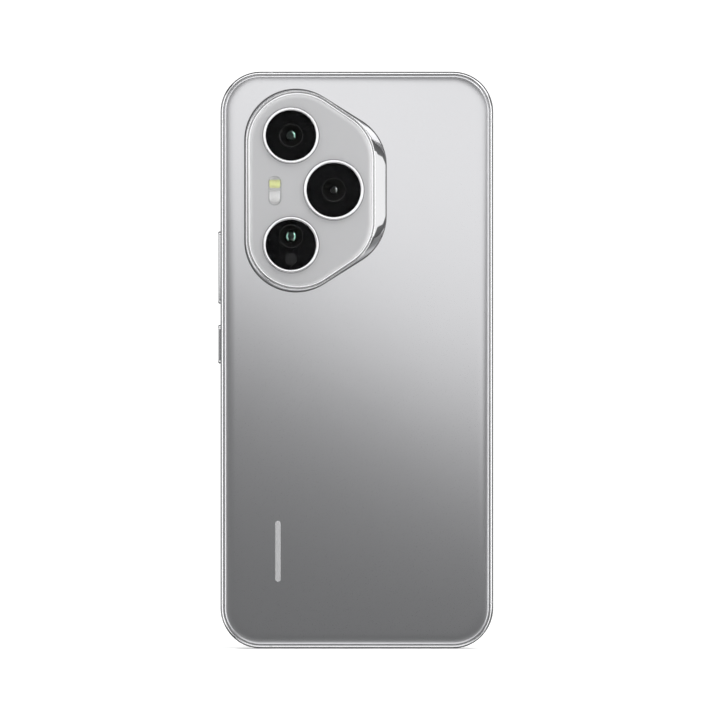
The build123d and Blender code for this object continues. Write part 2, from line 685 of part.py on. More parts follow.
card_floor = TRAY_BODY[1] / 2 - CARD_POCKET + GAP
save(
    slab("sim_card", (card_floor, card_floor + CARD[2]), CARD[:2], CARD_CENTRE, CARD_CORNER),
    "sim_card",
)

with BuildPart() as sim_reader:
    with BuildSketch(layer(-READER_HALF)):
        with Locations((sum(READER_X) / 2, READER_Z)):
            Rectangle(READER_X[1] - READER_X[0], READER_HEIGHT)
    extrude(amount=2 * READER_HALF)
    with BuildSketch(layer(-READER_HALF + READER_WALL)):
        with Locations((sum(READER_X) / 2 + READER_WALL, READER_Z)):
            Rectangle(READER_X[1] - READER_X[0], READER_HEIGHT - 2 * READER_WALL)
    extrude(amount=2 * (READER_HALF - READER_WALL), mode=Mode.SUBTRACT)
save(sim_reader, "sim_reader")

with BuildPart() as eject_plunger:
    with BuildSketch(Plane.YZ.offset(PLUNGER_X[0])):
        with Locations((0, PIN_Z)):
            RectangleRounded(2 * PIN_RADIUS, 2 * PIN_RADIUS, PLUNGER_CORNER)
    extrude(amount=PLUNGER_X[1] - PLUNGER_X[0])
save(eject_plunger, "eject_plunger")

with BuildPart() as eject_lever:
    with BuildSketch(layer(LEVER_LEVELS[0])):
        with Locations(LEVER_PIVOT):
            Rectangle(*LEVER)
            Circle(LEVER_EYE)
            Circle(LEVER_BORE, mode=Mode.SUBTRACT)
    extrude(amount=LEVER_LEVELS[1] - LEVER_LEVELS[0])
save(eject_lever, "eject_lever")

# Battery and its neighbours
save(slab("battery", BATTERY_LEVELS, BATTERY, BATTERY_CENTRE, BATTERY_CORNER), "battery")
save(slab("battery_pull_tab", PULL_TAB_LEVELS, PULL_TAB, PULL_TAB_CENTRE), "battery_pull_tab")

with BuildPart() as charging_coil:
    with BuildSketch(layer(COIL_LEVELS[0])):
        with Locations(BATTERY_CENTRE):
            Circle(COIL_RADII[1])
            Circle(COIL_RADII[0], mode=Mode.SUBTRACT)
    extrude(amount=COIL_LEVELS[1] - COIL_LEVELS[0])
save(charging_coil, "charging_coil")

with BuildPart() as main_flex:
    with BuildSketch(layer(FLEX_LEVELS[0])):
        with Locations((FLEX_X, sum(FLEX_ENDS_Z) / 2)):
            Rectangle(FLEX_WIDTH, FLEX_ENDS_Z[1] - FLEX_ENDS_Z[0])
    extrude(amount=FLEX_LEVELS[1] - FLEX_LEVELS[0])
    with BuildSketch(layer(FLEX_FOOT_LEVEL)):
        with Locations((FLEX_X, FLEX_ENDS_Z[0]), (FLEX_X, FLEX_ENDS_Z[1])):
            Rectangle(FLEX_WIDTH, FLEX_SHEET)
    extrude(amount=FLEX_LEVELS[1] - FLEX_FOOT_LEVEL)
save(main_flex, "main_flex")

# Boards
with BuildPart() as main_board:
    with BuildSketch(layer(BOARD_LEVELS[0])):
        with Locations(MAIN_BOARD_CENTRE):
            RectangleRounded(*MAIN_BOARD, SMALL_CORNER)
        with Locations(BOARD_STRIP_CENTRE):
            Rectangle(*BOARD_STRIP)
        with Locations(BOARD_EAR_CENTRE):
            Rectangle(*BOARD_EAR)
        with Locations(*SCREW_SPOTS):
            Circle(BOSS_RADIUS + BOSS_CLEARANCE, mode=Mode.SUBTRACT)
    extrude(amount=BOARD_LEVELS[1] - BOARD_LEVELS[0])
    with BuildSketch(layer(BOARD_LEVELS[1])):
        with Locations(*CHIP_CENTRES):
            Rectangle(CHIP, CHIP)
    extrude(amount=CHIP_HEIGHT)
save(main_board, "main_board")

with BuildPart() as shield_cans:
    for centre, size in CANS.values():
        with BuildSketch(layer(BOARD_LEVELS[1])):
            with Locations(centre):
                Rectangle(*size)
        extrude(amount=CAN_HEIGHT)
        with BuildSketch(layer(BOARD_LEVELS[1])):
            with Locations(centre):
                Rectangle(size[0] - 2 * CAN_WALL, size[1] - 2 * CAN_WALL)
        extrude(amount=CAN_HEIGHT - CAN_WALL, mode=Mode.SUBTRACT)
save(shield_cans, "shield_cans")

with BuildPart() as board_cover:
    with BuildSketch(layer(COVER_LEVELS[0])):
        with Locations(COVER_PLATE_CENTRE):
            RectangleRounded(*COVER_PLATE, COVER_CORNER)
        with Locations(SCREW_SPOTS[0]):
            RectangleRounded(*COVER_EAR, COVER_CORNER)
        with Locations(COVER_STRIP_CENTRE):
            Rectangle(*COVER_STRIP)
        with Locations(*SCREW_SPOTS[:OPEN_BOSS]):
            Circle(SCREW_SHANK + GAP, mode=Mode.SUBTRACT)
    extrude(amount=COVER_LEVELS[1] - COVER_LEVELS[0])
save(board_cover, "board_cover")

with BuildPart() as sub_board:
    with BuildSketch(layer(BOARD_LEVELS[0])):
        with Locations(SUB_BOARD_CENTRE):
            RectangleRounded(*SUB_BOARD, SMALL_CORNER)
        with Locations(SUB_BOARD_NOTCH_CENTRE):
            Rectangle(*SUB_BOARD_NOTCH, mode=Mode.SUBTRACT)
        with Locations(FINGERPRINT_CENTRE):
            Rectangle(
                FINGERPRINT[0] + SMALL_CORNER, FINGERPRINT[1] + SMALL_CORNER,
                mode=Mode.SUBTRACT,
            )
        with Locations(*SCREW_SPOTS[OPEN_BOSS:]):
            Circle(BOSS_RADIUS + BOSS_CLEARANCE, mode=Mode.SUBTRACT)
    extrude(amount=BOARD_LEVELS[1] - BOARD_LEVELS[0])
save(sub_board, "sub_board")

with BuildPart() as charging_port_shell:
    with BuildSketch(Plane.XY.offset(PORT_Z[0])):
        SlotOverall(*PORT_OUTER)
        SlotOverall(*PORT_INNER, mode=Mode.SUBTRACT)
    extrude(amount=PORT_Z[1] - PORT_Z[0])
    with BuildSketch(Plane.XY.offset(PORT_Z[1] - PORT_FLOOR)):
        SlotOverall(*PORT_OUTER)
    extrude(amount=PORT_FLOOR)
save(charging_port_shell, "charging_port_shell")

with BuildPart() as charging_port_tongue:
    with BuildSketch(Plane.XY.offset(PORT_Z[0] + TONGUE_SINK)):
        Rectangle(*TONGUE)
    extrude(amount=PORT_Z[1] - PORT_FLOOR - PORT_Z[0] - TONGUE_SINK)
save(charging_port_tongue, "charging_port_tongue")

# Sound and vibration
with BuildPart() as loudspeaker:
    with BuildSketch(layer(LOUDSPEAKER_LEVELS[0])):
        with Locations(LOUDSPEAKER_CENTRE):
            RectangleRounded(*LOUDSPEAKER, SMALL_CORNER)
        with Locations(*SCREW_SPOTS[OPEN_BOSS + 1:]):
            Circle(BOSS_RADIUS + BOSS_CLEARANCE, mode=Mode.SUBTRACT)
    extrude(amount=LOUDSPEAKER_LEVELS[1] - LOUDSPEAKER_LEVELS[0])
    with BuildSketch(layer(COVER_LEVELS[0])):
        with Locations(LOUDSPEAKER_FLANGE_CENTRE):
            RectangleRounded(*LOUDSPEAKER_FLANGE, SMALL_CORNER)
        with Locations(*SCREW_SPOTS[OPEN_BOSS + 1:]):
            Circle(SCREW_SHANK + GAP, mode=Mode.SUBTRACT)
    extrude(amount=COVER_LEVELS[1] - COVER_LEVELS[0])
    with BuildSketch(layer(LOUDSPEAKER_LEVELS[1])):
        with Locations(LOUDSPEAKER_RISER_CENTRE):
            Rectangle(*LOUDSPEAKER_RISER)
    extrude(amount=COVER_LEVELS[1] - LOUDSPEAKER_LEVELS[1])
save(loudspeaker, "loudspeaker")

with BuildPart() as loudspeaker_mesh:
    with Locations((SPEAKER_X, 0, FRAME_WALL + SPEAKER_MESH)):
        Box(SPEAKER_PITCH * SPEAKER_HOLES + CUT_PAST, SPEAKER_MESH_WIDTH, SPEAKER_MESH)
save(loudspeaker_mesh, "loudspeaker_mesh")

save(
    slab("earpiece_speaker", EARPIECE_LEVELS, EARPIECE, EARPIECE_CENTRE, SMALL_CORNER),
    "earpiece_speaker",
)

with BuildPart() as earpiece_mesh:
    with BuildSketch(layer(DISPLAY_GLASS_LEVEL)):
        with Locations((0, HEIGHT - RIM + EAR_SLIT[1] / 2)):
            Rectangle(EAR_SLIT[0] - 2 * GAP, EAR_SLIT[1] - 2 * GAP)
    extrude(amount=EAR_MESH)
save(earpiece_mesh, "earpiece_mesh")

with BuildPart() as microphones:
    with Locations((BOTTOM_MIC_X, 0, FRAME_WALL + MICROPHONE_GAP)):
        Box(*MICROPHONE)
    with Locations((TOP_MIC_X + TOP_MIC_SHIFT, 0, HEIGHT - FRAME_WALL - MICROPHONE_GAP)):
        Box(*MICROPHONE)
save(microphones, "microphones")

with BuildPart() as vibration_motor_case:
    with BuildSketch(layer(MOTOR_LEVELS[0])):
        with Locations(MOTOR_CENTRE):
            RectangleRounded(*MOTOR, SMALL_CORNER)
    extrude(amount=MOTOR_LEVELS[1] - MOTOR_LEVELS[0])
    with BuildSketch(layer(MOTOR_LEVELS[0] + MOTOR_WALL)):
        with Locations(MOTOR_CENTRE):
            Rectangle(MOTOR[0] - 2 * MOTOR_WALL, MOTOR[1] - 2 * MOTOR_WALL)
    extrude(amount=MOTOR_LEVELS[1] - MOTOR_LEVELS[0] - 2 * MOTOR_WALL, mode=Mode.SUBTRACT)
save(vibration_motor_case, "vibration_motor_case")
save(
    slab("vibration_motor_mass", MOTOR_MASS_LEVELS, MOTOR_MASS, MOTOR_CENTRE,
         MOTOR_MASS_CORNER),
    "vibration_motor_mass",
)

# Screws that hold the board cover and the loudspeaker down to the bosses
screwed_spots = SCREW_SPOTS[:OPEN_BOSS] + SCREW_SPOTS[OPEN_BOSS + 1:]
with BuildPart() as cover_screws:
    with BuildSketch(layer(COVER_LEVELS[1])):
        with Locations(*screwed_spots):
            Circle(SCREW_HEAD[0])
    extrude(amount=SCREW_HEAD[1])
    with BuildSketch(layer(SCREW_TIP_LEVEL)):
        with Locations(*screwed_spots):
            Circle(SCREW_SHANK)
    extrude(amount=COVER_LEVELS[1] - SCREW_TIP_LEVEL)
save(cover_screws, "cover_screws")
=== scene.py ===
import math

import bmesh
import bpy
from bpy.props import FloatProperty, FloatVectorProperty, IntProperty, PointerProperty
from mathutils import Matrix, Vector


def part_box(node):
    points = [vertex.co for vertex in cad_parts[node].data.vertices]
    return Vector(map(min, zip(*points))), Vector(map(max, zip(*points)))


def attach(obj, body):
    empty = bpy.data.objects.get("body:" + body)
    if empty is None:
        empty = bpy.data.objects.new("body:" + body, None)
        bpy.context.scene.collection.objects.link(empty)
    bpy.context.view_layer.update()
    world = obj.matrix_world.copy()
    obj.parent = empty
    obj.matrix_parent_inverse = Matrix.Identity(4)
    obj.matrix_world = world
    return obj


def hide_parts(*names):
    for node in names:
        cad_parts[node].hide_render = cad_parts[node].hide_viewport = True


bl_info = {
    "name": "Smartphone looks",
    "version": (1, 0, 0),
    "blender": (4, 5, 0),
    "location": "View3D > Sidebar > Smartphone",
    "description": "Builds the glass, camera island, lenses, grilles and finishes of a slab smartphone",
    "category": "Object",
}

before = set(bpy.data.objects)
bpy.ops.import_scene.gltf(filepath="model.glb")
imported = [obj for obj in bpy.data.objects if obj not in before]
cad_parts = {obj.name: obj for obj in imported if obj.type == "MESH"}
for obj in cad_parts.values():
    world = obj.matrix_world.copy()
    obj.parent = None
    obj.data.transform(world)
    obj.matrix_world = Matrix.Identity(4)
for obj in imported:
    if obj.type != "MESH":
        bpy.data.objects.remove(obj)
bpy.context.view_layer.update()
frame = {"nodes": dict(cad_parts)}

MM = 0.001
PHONE = "phone"
CAMERAS = ("upper", "main", "lower")

# Points round turned shapes
RING_POINTS = 128
ROUND_POINTS = 96
ELEMENT_POINTS = 64
SMALL_POINTS = 48

# Angle to which each camera's painted crescent of coating reflection leans, in degrees, and whether it
# shows on both sides
CRESCENT_LEANS = {"upper": (22, False), "main": (10, False), "lower": (0, True)}


# Places and sizes read from the frame, in millimetres. A level is a distance from the middle
# of the phone's thickness towards its back.

def span(node):
    """Lowest and highest corner of a node, as (x, level, z) in millimetres."""
    low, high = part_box(node)
    return (low.x / MM, -high.y / MM, low.z / MM), (high.x / MM, -low.y / MM, high.z / MM)


def middle(node):
    """Middle of a node's box, as (x, level, z) in millimetres."""
    low, high = span(node)
    return tuple((a + b) / 2 for a, b in zip(low, high))


def centre_of(node):
    """Middle of a node seen from the back, as (x, z) in millimetres."""
    x, _, z = middle(node)
    return x, z


def radius_of(node):
    """Half of a node's width, in millimetres."""
    low, high = span(node)
    return (high[0] - low[0]) / 2


FRAME_LOW, FRAME_HIGH = span("side_frame")
GLASS_LOW, GLASS_HIGH = span("rear_cover")
DECK_LOW, DECK_HIGH = span("island_deck")
BACK = GLASS_HIGH[1]
DECK = DECK_HIGH[1]
FRAME_BACK = FRAME_HIGH[1]
ISLAND_Z = middle("island_rim")[2]
MIDDLE_Z = (FRAME_LOW[2] + FRAME_HIGH[2]) / 2


# Settings shown in Blender's panels

def size(name, description, default):
    """A size in millimetres."""
    return FloatProperty(name=name, description=f"{description}, mm", default=default)


def lengths(name, description, default):
    """Three sizes in millimetres."""
    return FloatVectorProperty(name=name, description=f"{description}, mm", default=default)


def colour_of(name, description, default):
    """A colour."""
    return FloatVectorProperty(
        name=name, description=description, subtype="COLOR", default=default)


def stage_length(name, description, default):
    """A length of the stage in metres."""
    return FloatProperty(name=name, description=description, default=default, unit="LENGTH")


def radiance_of(name, description, default):
    """How brightly a light or the surroundings shine."""
    return FloatProperty(name=name, description=f"Radiance of {description}", default=default)


class PhoneSizes(bpy.types.PropertyGroup):
    """Sizes of the outer shell, in millimetres."""

    corner: size("Corner", "Outer corner radius", 11.2)
    edge_width: size("Glass edge", "Width of the rear glass's curved edge", 3.35)
    edge_lean: FloatProperty(
        name="Glass lean", description="Slope at the foot of the curved edge, degrees", default=13.5)
    glass_gap: size("Glass gap", "Change to the gap between the frame and the rear glass", -0.08)
    bead_width: size("Glass bead", "Width of the steep outermost part of the edge", 0.42)
    bar_length: size("Bar length", "Length of the plain bar on the rear glass", 17.0)
    bar_width: size("Bar width", "Width of the plain bar on the rear glass", 1.5)


class IslandSizes(bpy.types.PropertyGroup):
    """Sizes of the camera island, in millimetres. Each outline is the hull of four circles, each
    with its x, its distance from the island's middle and its radius."""

    base_tall: lengths("Base, tall side", "x, distance, radius", (-17.0, 14.0, 14.2))
    base_right: lengths("Base, right side", "x, distance, radius", (-6.4, 7.0, 14.5))
    top_tall: lengths("Top, tall side", "x, distance, radius", (-16.5, 13.4, 14.1))
    top_right: lengths("Top, right side", "x, distance, radius", (-9.2, 8.5, 14.1))
    lip: size("Lip", "Width of the rim's bright lip", 0.8)
    # The deck's painted highlight fades out across this band.
    band: size("Deck band", "Width of the deck's softly curved border", 1.3)
    flash_width: size("Flash width", "Width of the flash", 3.5)
    flash_height: size("Flash height", "Height of the flash", 8.1)


class LensSizes(bpy.types.PropertyGroup):
    """Sizes of the cameras' visible glass, in millimetres."""

    ring_height: size("Ring height", "Height of a lens ring above the deck", 0.95)
    ridge: size("Ridge", "Radius of the faint ridge round each lens", 3.3)
    # The dark ring round each lens ring's foot is painted shadow.
    gasket: size("Gasket", "Width of the painted shadow round each ring", 0.14)
    baffle_steps: IntProperty(
        name="Baffle steps", description="Steps in the dark funnel above each lens", default=6)
    elements: lengths("Front elements", "Radius of each camera's front element", (1.45, 1.15, 1.6))


class Finishes(bpy.types.PropertyGroup):
    """Colours of the finishes."""

    glass: colour_of("Rear glass", "Satin silver-grey", (0.735, 0.735, 0.75))
    deck: colour_of("Island deck", "Satin silver", (0.41, 0.41, 0.417))
    bright: colour_of("Bright metal", "Polished trim", (0.9, 0.9, 0.91))
    frame: colour_of("Frame metal", "Polished frame", (0.80, 0.80, 0.81))
    # Tint of the painted crescents of reflection on the front elements.
    coating: colour_of("Lens coating", "Tint of the front elements", (0.32, 0.55, 0.47))
    warm: colour_of("Warm light", "Phosphor of the warm flash light", (0.96, 1.0, 0.42))
    cool: colour_of("Cool light", "Phosphor of the cool flash light", (0.93, 0.93, 0.93))


class StageSettings(bpy.types.PropertyGroup):
    """Floor, lights and camera."""

    distance: stage_length("Camera distance", "Distance to the phone", 3.0)
    view_width: stage_length("View width", "Width of the view at the phone", 0.20095)
    offset: stage_length("Camera offset", "Camera's place right of the middle", 0.00087)
    floor_radius: stage_length("Floor radius", "Radius of the round floor", 0.4)
    front_panel: radiance_of("Front panel", "the large panel before the phone", 0.98)
    surround: radiance_of("Surround", "the surroundings", 0.16)
    right_strip: radiance_of("Right strip", "the tall strip on the right", 1.4)
    left_strip: radiance_of("Left strip", "the tall strip on the left", 1.1)


# Geometry helpers

def at(x, level, z):
    """A point from millimetres across, towards the back and up."""
    return Vector((x, -level, z)) * MM


def arc(centre, radius, start, end, count):
    """Points on an arc in the plane of the back, from one angle to another, both included."""
    angles = [math.radians(start + (end - start) * i / (count - 1)) for i in range(count)]
    return [(centre[0] + radius * math.cos(a), centre[1] + radius * math.sin(a)) for a in angles]


def circle(centre, radius, count=ROUND_POINTS):
    """Points round a circle."""
    return arc(centre, radius, 0, 360, count + 1)[:-1]


def slot(centre, width, height, count=17):
    """Points round an upright slot with full-round ends."""
    radius = width / 2
    reach = height / 2 - radius
    top = arc((centre[0], centre[1] + reach), radius, 0, 180, count)
    bottom = arc((centre[0], centre[1] - reach), radius, 180, 360, count)
    return top + bottom


def phone_outline(corner, inset, count=25):
    """Points round the phone's outline, brought in by an inset."""
    radius = corner - inset
    x = FRAME_HIGH[0] - corner
    top = FRAME_HIGH[2] - corner
    bottom = FRAME_LOW[2] + corner
    return (arc((x, top), radius, 0, 90, count) + arc((-x, top), radius, 90, 180, count)
            + arc((-x, bottom), radius, 180, 270, count) + arc((x, bottom), radius, 270, 360, count))


def island_outline(tall, right, grow, count=29):
    """Points round the hull of four circles: two on the tall side and two on the right."""
    run = right[0] - tall[0]
    fall = tall[1] - right[1]
    lean = math.asin((tall[2] - right[2]) / math.hypot(run, fall))
    normal = math.degrees(math.pi / 2 - math.atan2(fall, run) - lean)
    up = ISLAND_Z
    return (arc((right[0], up + right[1]), right[2] + grow, 0, normal, count)
            + arc((tall[0], up + tall[1]), tall[2] + grow, normal, 180, count)
            + arc((tall[0], up - tall[1]), tall[2] + grow, 180, 360 - normal, count)
            + arc((right[0], up - right[1]), right[2] + grow, 360 - normal, 360, count))


def between(first, second, share):
    """Points part of the way from one outline to another with the same number of points."""
    return [(a[0] + (b[0] - a[0]) * share, a[1] + (b[1] - a[1]) * share)
            for a, b in zip(first, second)]


def base_outline(sizes, grow):
    """The island's outline where its rim meets the rear glass."""
    return island_outline(sizes.base_tall, sizes.base_right, grow)


def top_outline(sizes, grow):
    """The island's outline at the top of its rim's wall."""
    return island_outline(sizes.top_tall, sizes.top_right, grow)


def pill(centre, width, height, profile):
    """Layers of an upright pill, from pairs of what its width and height lose and a level."""
    return [(slot(centre, width - less, height - less), level) for less, level in profile]


def dome(radius, level, crown, steps):
    """Profile of a dome from its rim to its tip, as (radius, level) pairs."""
    turns = [i / steps * math.pi / 2 for i in range(steps)]
    side = [(radius * math.cos(turn), level + crown * math.sin(turn)) for turn in turns]
    return [*side, (0, level + crown)]


class Shape:
    """Collects rings of points into one mesh."""

    def __init__(self):
        self.mesh = bmesh.new()
        self.flat = set()
        self.fall_and_highlight = self.mesh.verts.layers.float.new("fall_and_highlight")

    def ring(self, outline, level, fall_and_highlight=0.0):
        """A ring of vertices along an outline, at a level, marked with a share of painted highlight."""
        ring = [self.mesh.verts.new(at(x, level, z)) for x, z in outline]
        for vertex in ring:
            vertex[self.fall_and_highlight] = fall_and_highlight
        return ring

    def wall(self, first, second):
        """Joins two rings of the same size with quads."""
        for i in range(len(first)):
            j = (i + 1) % len(first)
            self.mesh.faces.new((first[i], first[j], second[j], second[i]))

    def skin(self, rings):
        """Joins rings in order."""
        for first, second in zip(rings, rings[1:]):
            self.wall(first, second)

    def closed(self, rings):
        """Joins rings in order, and the last one to the first."""
        self.skin([*rings, rings[0]])

    def walls(self, outlines, top, foot):
        """Walls along outlines between two levels. Returns the rings at the top and the foot."""
        uppers = [self.ring(outline, top) for outline in outlines]
        lowers = [self.ring(outline, foot) for outline in outlines]
        for upper, lower in zip(uppers, lowers):
            self.wall(upper, lower)
        return uppers, lowers

    def solid(self, layers):
        """A closed solid through layers, each an outline and its level."""
        rings = [self.ring(outline, level) for outline, level in layers]
        self.skin(rings)
        self.cap(rings[0])
        self.cap(rings[-1])

    def cap(self, *rings):
        """Fills the flat area inside the first ring and outside the others."""
        edges = []
        for ring in rings:
            for i, vertex in enumerate(ring):
                other = ring[(i + 1) % len(ring)]
                edge = self.mesh.edges.get((vertex, other)) or self.mesh.edges.new((vertex, other))
                edges.append(edge)
        filled = bmesh.ops.triangle_fill(
            self.mesh, use_beauty=True, use_dissolve=False, edges=edges)
        self.flat.update(item for item in filled["geom"] if isinstance(item, bmesh.types.BMFace))

    def pole(self, ring, centre, level):
        """Closes a ring with a fan round one vertex."""
        tip = self.mesh.verts.new(at(centre[0], level, centre[1]))
        for i, vertex in enumerate(ring):
            self.mesh.faces.new((vertex, ring[(i + 1) % len(ring)], tip))

    def turned(self, centre, profile, count=ROUND_POINTS):
        """A turned shape about an axis through the back, from (radius, level) pairs.
        A radius of 0 at either end closes it."""
        rings = [self.ring(circle(centre, r, count), level) for r, level in profile if r > 0]
        self.skin(rings)
        if profile[0][0] == 0:
            self.pole(rings[0], centre, profile[0][1])
        if profile[-1][0] == 0:
            self.pole(rings[-1], centre, profile[-1][1])

    def closed_turned(self, centre, profile, count=ROUND_POINTS):
        """A turned ring whose profile closes on itself."""
        self.closed([self.ring(circle(centre, r, count), level) for r, level in profile])

    def finish(self, name, material, slot_name, replaces=(), body=PHONE, crease=32):
        """Makes the mesh a piece of the phone that rides on a body."""
        bmesh.ops.recalc_face_normals(self.mesh, faces=self.mesh.faces)
        for face in self.mesh.faces:
            face.smooth = face not in self.flat
        data = bpy.data.meshes.new(name)
        self.mesh.to_mesh(data)
        self.mesh.free()
        data.set_sharp_from_angle(angle=math.radians(crease))
        piece = bpy.data.objects.new(name, data)
        bpy.context.scene.collection.objects.link(piece)
        return enlist(piece, material, replaces, body)


def enlist(piece, material, replaces=(), body=PHONE):
    """Gives a finished mesh its material, body and the nodes it stands for."""
    piece.data.materials.clear()
    piece.data.materials.append(material)
    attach(piece, body)
    if replaces:
        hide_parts(*replaces)
    return piece


# Shader helpers

class Field:
    """A value that varies over a surface. Arithmetic on it adds Math nodes."""

    def __init__(self, surface, socket):
        self.surface = surface
        self.socket = socket

    def math(self, operation, first, second=0.0):
        """Adds one Math node."""
        return self.surface.node("ShaderNodeMath", {"operation": operation}, {0: first, 1: second})

    def __add__(self, other):
        return self.math("ADD", self, other)

    __radd__ = __add__

    def __sub__(self, other):
        return self.math("SUBTRACT", self, other)

    def __rsub__(self, other):
        return self.math("SUBTRACT", other, self)

    def __mul__(self, other):
        return self.math("MULTIPLY", self, other)

    __rmul__ = __mul__

    def __truediv__(self, other):
        return self.math("DIVIDE", self, other)

    def __pow__(self, other):
        return self.math("POWER", self, other)

    def spread(self, width, middle):
        """A value that varies about a middle, over a width, while this one goes from 0 to 1."""
        return self * width + (middle - width / 2)

    def sine(self):
        return self.math("SINE", self)

    def absolute(self):
        return self.math("ABSOLUTE", self)


class Surface:
    """A material with one Principled shader, fed with numbers, colours or Fields."""

    def __init__(self, name, **sockets):
        self.material = bpy.data.materials.new(name)
        self.material.use_nodes = True
        self.tree = self.material.node_tree
        self.shader = self.tree.nodes["Principled BSDF"]
        self.set(**sockets)

    def set(self, **sockets):
        """Sets shader sockets, whose names are written with underscores."""
        for name, value in sockets.items():
            self.feed(self.shader.inputs[name.replace("_", " ")], value)

    def feed(self, socket, value):
        """Links a Field to a socket, or sets the socket to a number or a colour."""
        if isinstance(value, Field):
            self.tree.links.new(value.socket, socket)
        elif socket.type == "RGBA" and len(value) == 3:
            socket.default_value = (*value, 1.0)
        else:
            socket.default_value = value

    def node(self, kind, settings=None, inputs=None, output=0):
        """Adds a node: its settings first, then its sockets."""
        made = self.tree.nodes.new(kind)
        for name, value in (settings or {}).items():
            setattr(made, name, value)
        for name, value in (inputs or {}).items():
            self.feed(made.inputs[name], value)
        return Field(self, made.outputs[output])

    def place(self, scale=(1, 1, 1), centre=(0, 0, 0)):
        """Object coordinates about a centre in millimetres, scaled to patterns per millimetre."""
        coordinates = self.node("ShaderNodeTexCoord", output="Object")
        factors = [s / MM for s in scale]
        shift = [-c * s for c, s in zip(centre, scale)]
        return self.node("ShaderNodeMapping", inputs={
            "Vector": coordinates, "Scale": factors, "Location": shift})

    def about(self, centre):
        """Object coordinates about an axis through the back, and the distance from that axis."""
        vector = self.place(centre=(centre[0], 0, centre[1]))
        flat = self.node("ShaderNodeVectorMath", {"operation": "MULTIPLY"}, {0: vector, 1: (1, 0, 1)})
        reach = self.node("ShaderNodeVectorMath", {"operation": "LENGTH"}, {0: flat}, output="Value")
        return vector, reach

    def axis(self, vector, letter):
        """One axis of a vector, X, Y or Z."""
        return self.node("ShaderNodeSeparateXYZ", inputs={0: vector}, output=letter)

    def noise(self, scale, detail=2.0, stretch=(1, 1, 1)):
        """Noise with a number of patches per millimetre."""
        vector = self.place(tuple(scale * s for s in stretch))
        return self.node("ShaderNodeTexNoise", inputs={"Vector": vector, "Scale": 1.0, "Detail": detail})

    def blend(self, factor, first, second):
        """A colour between two colours."""
        return self.node("ShaderNodeMix", {"data_type": "RGBA"},
                         {"Factor": factor, 6: first, 7: second}, output=2)

    def vary(self, factor, colour, low, high=1.0):
        """A colour between two shares of itself."""
        return self.blend(factor, shade(colour, low), shade(colour, high))

    def rise(self, value, start, end):
        """A soft step from 0 to 1 while a value goes from start to end."""
        return self.node("ShaderNodeMapRange", {"interpolation_type": "SMOOTHSTEP"}, {
            "Value": value, "From Min": start, "From Max": end})

    def bump(self, height, depth, strength=1.0):
        """Raises the surface by a height from 0 to 1, times a depth in millimetres."""
        self.set(Normal=self.node("ShaderNodeBump", inputs={
            "Strength": strength, "Distance": depth * MM, "Height": height}))


def shade(colour, share):
    """A colour made darker or lighter."""
    return tuple(c * share for c in colour)


# Materials, one function for each finish

def satin_glass(name, colour, roughness, border=None, metallic=1.0):
    """Frosted glass over a metal coat: a fine etched grain and a slight random drift in colour. A border
    colour, which is a painted highlight, shows wherever the mesh is marked with a share of it."""
    surface = Surface(name, Metallic=metallic)
    drift = surface.noise(0.03, detail=1.0)
    fine = surface.noise(7.0, detail=2.0)
    base = surface.vary(drift, colour, 0.985, 1.015)
    if border:
        fall_and_highlight = surface.node("ShaderNodeAttribute", {"attribute_name": "fall_and_highlight"}, output="Fac")
        # Painted highlight: the border colour is blended in by the marked share.
        base = surface.blend(fall_and_highlight, base, border)
    surface.set(Base_Color=base, Roughness=fine.spread(0.03, roughness))
    surface.bump(fine, 0.004, strength=0.25)
    return surface.material


def polished_metal(name, colour, roughness=0.06):
    """Polished metal with hairline wiping marks."""
    surface = Surface(name, Metallic=1.0, Base_Color=colour)
    marks = surface.noise(2.0, detail=2.0, stretch=(1, 1, 0.12))
    surface.set(Roughness=marks.spread(0.02, roughness))
    return surface.material


def turned_metal(name, colour, centre, pitch=0.06):
    """Bright metal with the fine rings that turning leaves."""
    surface = Surface(name, Metallic=1.0, Base_Color=colour)
    _, radius = surface.about(centre)
    rings = (radius * (2 * math.pi / pitch)).sine() * 0.5 + 0.5
    surface.set(Roughness=rings * 0.04 + 0.1)
    surface.bump(rings, 0.001, strength=0.3)
    return surface.material


def moulded(name, colour, roughness=0.45, metallic=0.0, grain=4.0):
    """A moulded, pressed or cast finish with a fine grain."""
    surface = Surface(name, Metallic=metallic)
    fine = surface.noise(grain, detail=3.0)
    surface.set(Base_Color=surface.vary(fine, colour, 0.9, 1.1),
                Roughness=fine.spread(0.12, roughness))
    surface.bump(fine, 0.01, strength=0.3)
    return surface.material


def clear_glass(name, ior=1.06):
    """Coated optical glass."""
    surface = Surface(name, Transmission_Weight=1.0, IOR=ior, Base_Color=(1, 1, 1))
    dust = surface.noise(0.8, detail=4.0)
    surface.set(Roughness=dust * 0.012)
    return surface.material


def gloss_black(name, colour=(0.003, 0.003, 0.0035), roughness=0.25, shine=0.03):
    """Black ink or anodising with a soft gloss."""
    surface = Surface(name, Specular_IOR_Level=shine)
    fine = surface.noise(9.0, detail=2.0)
    surface.set(Base_Color=surface.vary(fine, colour, 0.8, 1.2),
                Roughness=fine * 0.06 + roughness)
    return surface.material


def lens_with_painted_crescent(name, colour, centre, radius, lean, crescent_both_sides):
    """A front element over a black interior, with a painted reflection: near its edge, on the side it
    leans to or on both sides, a crescent turns into a mirror tinted with the coating's colour, which
    reflects the real lights."""
    surface = Surface(name, Specular_IOR_Level=0.2)
    vector, reach = surface.about(centre)
    turn = math.radians(lean)
    along = surface.axis(vector, "X") * math.cos(turn) + surface.axis(vector, "Z") * math.sin(turn)
    along = along / (reach + 0.01)
    if crescent_both_sides:
        along = along.absolute()
    # Painted reflection: the crescent's mask, near the edge and towards the lean.
    edge = surface.rise(reach / radius, 0.5, 0.66) * surface.rise(along, 0.45, 0.8)
    surface.set(Base_Color=surface.vary(edge, colour, 0.02), Metallic=edge,
                Roughness=edge * 0.01 + 0.04)
    return surface.material


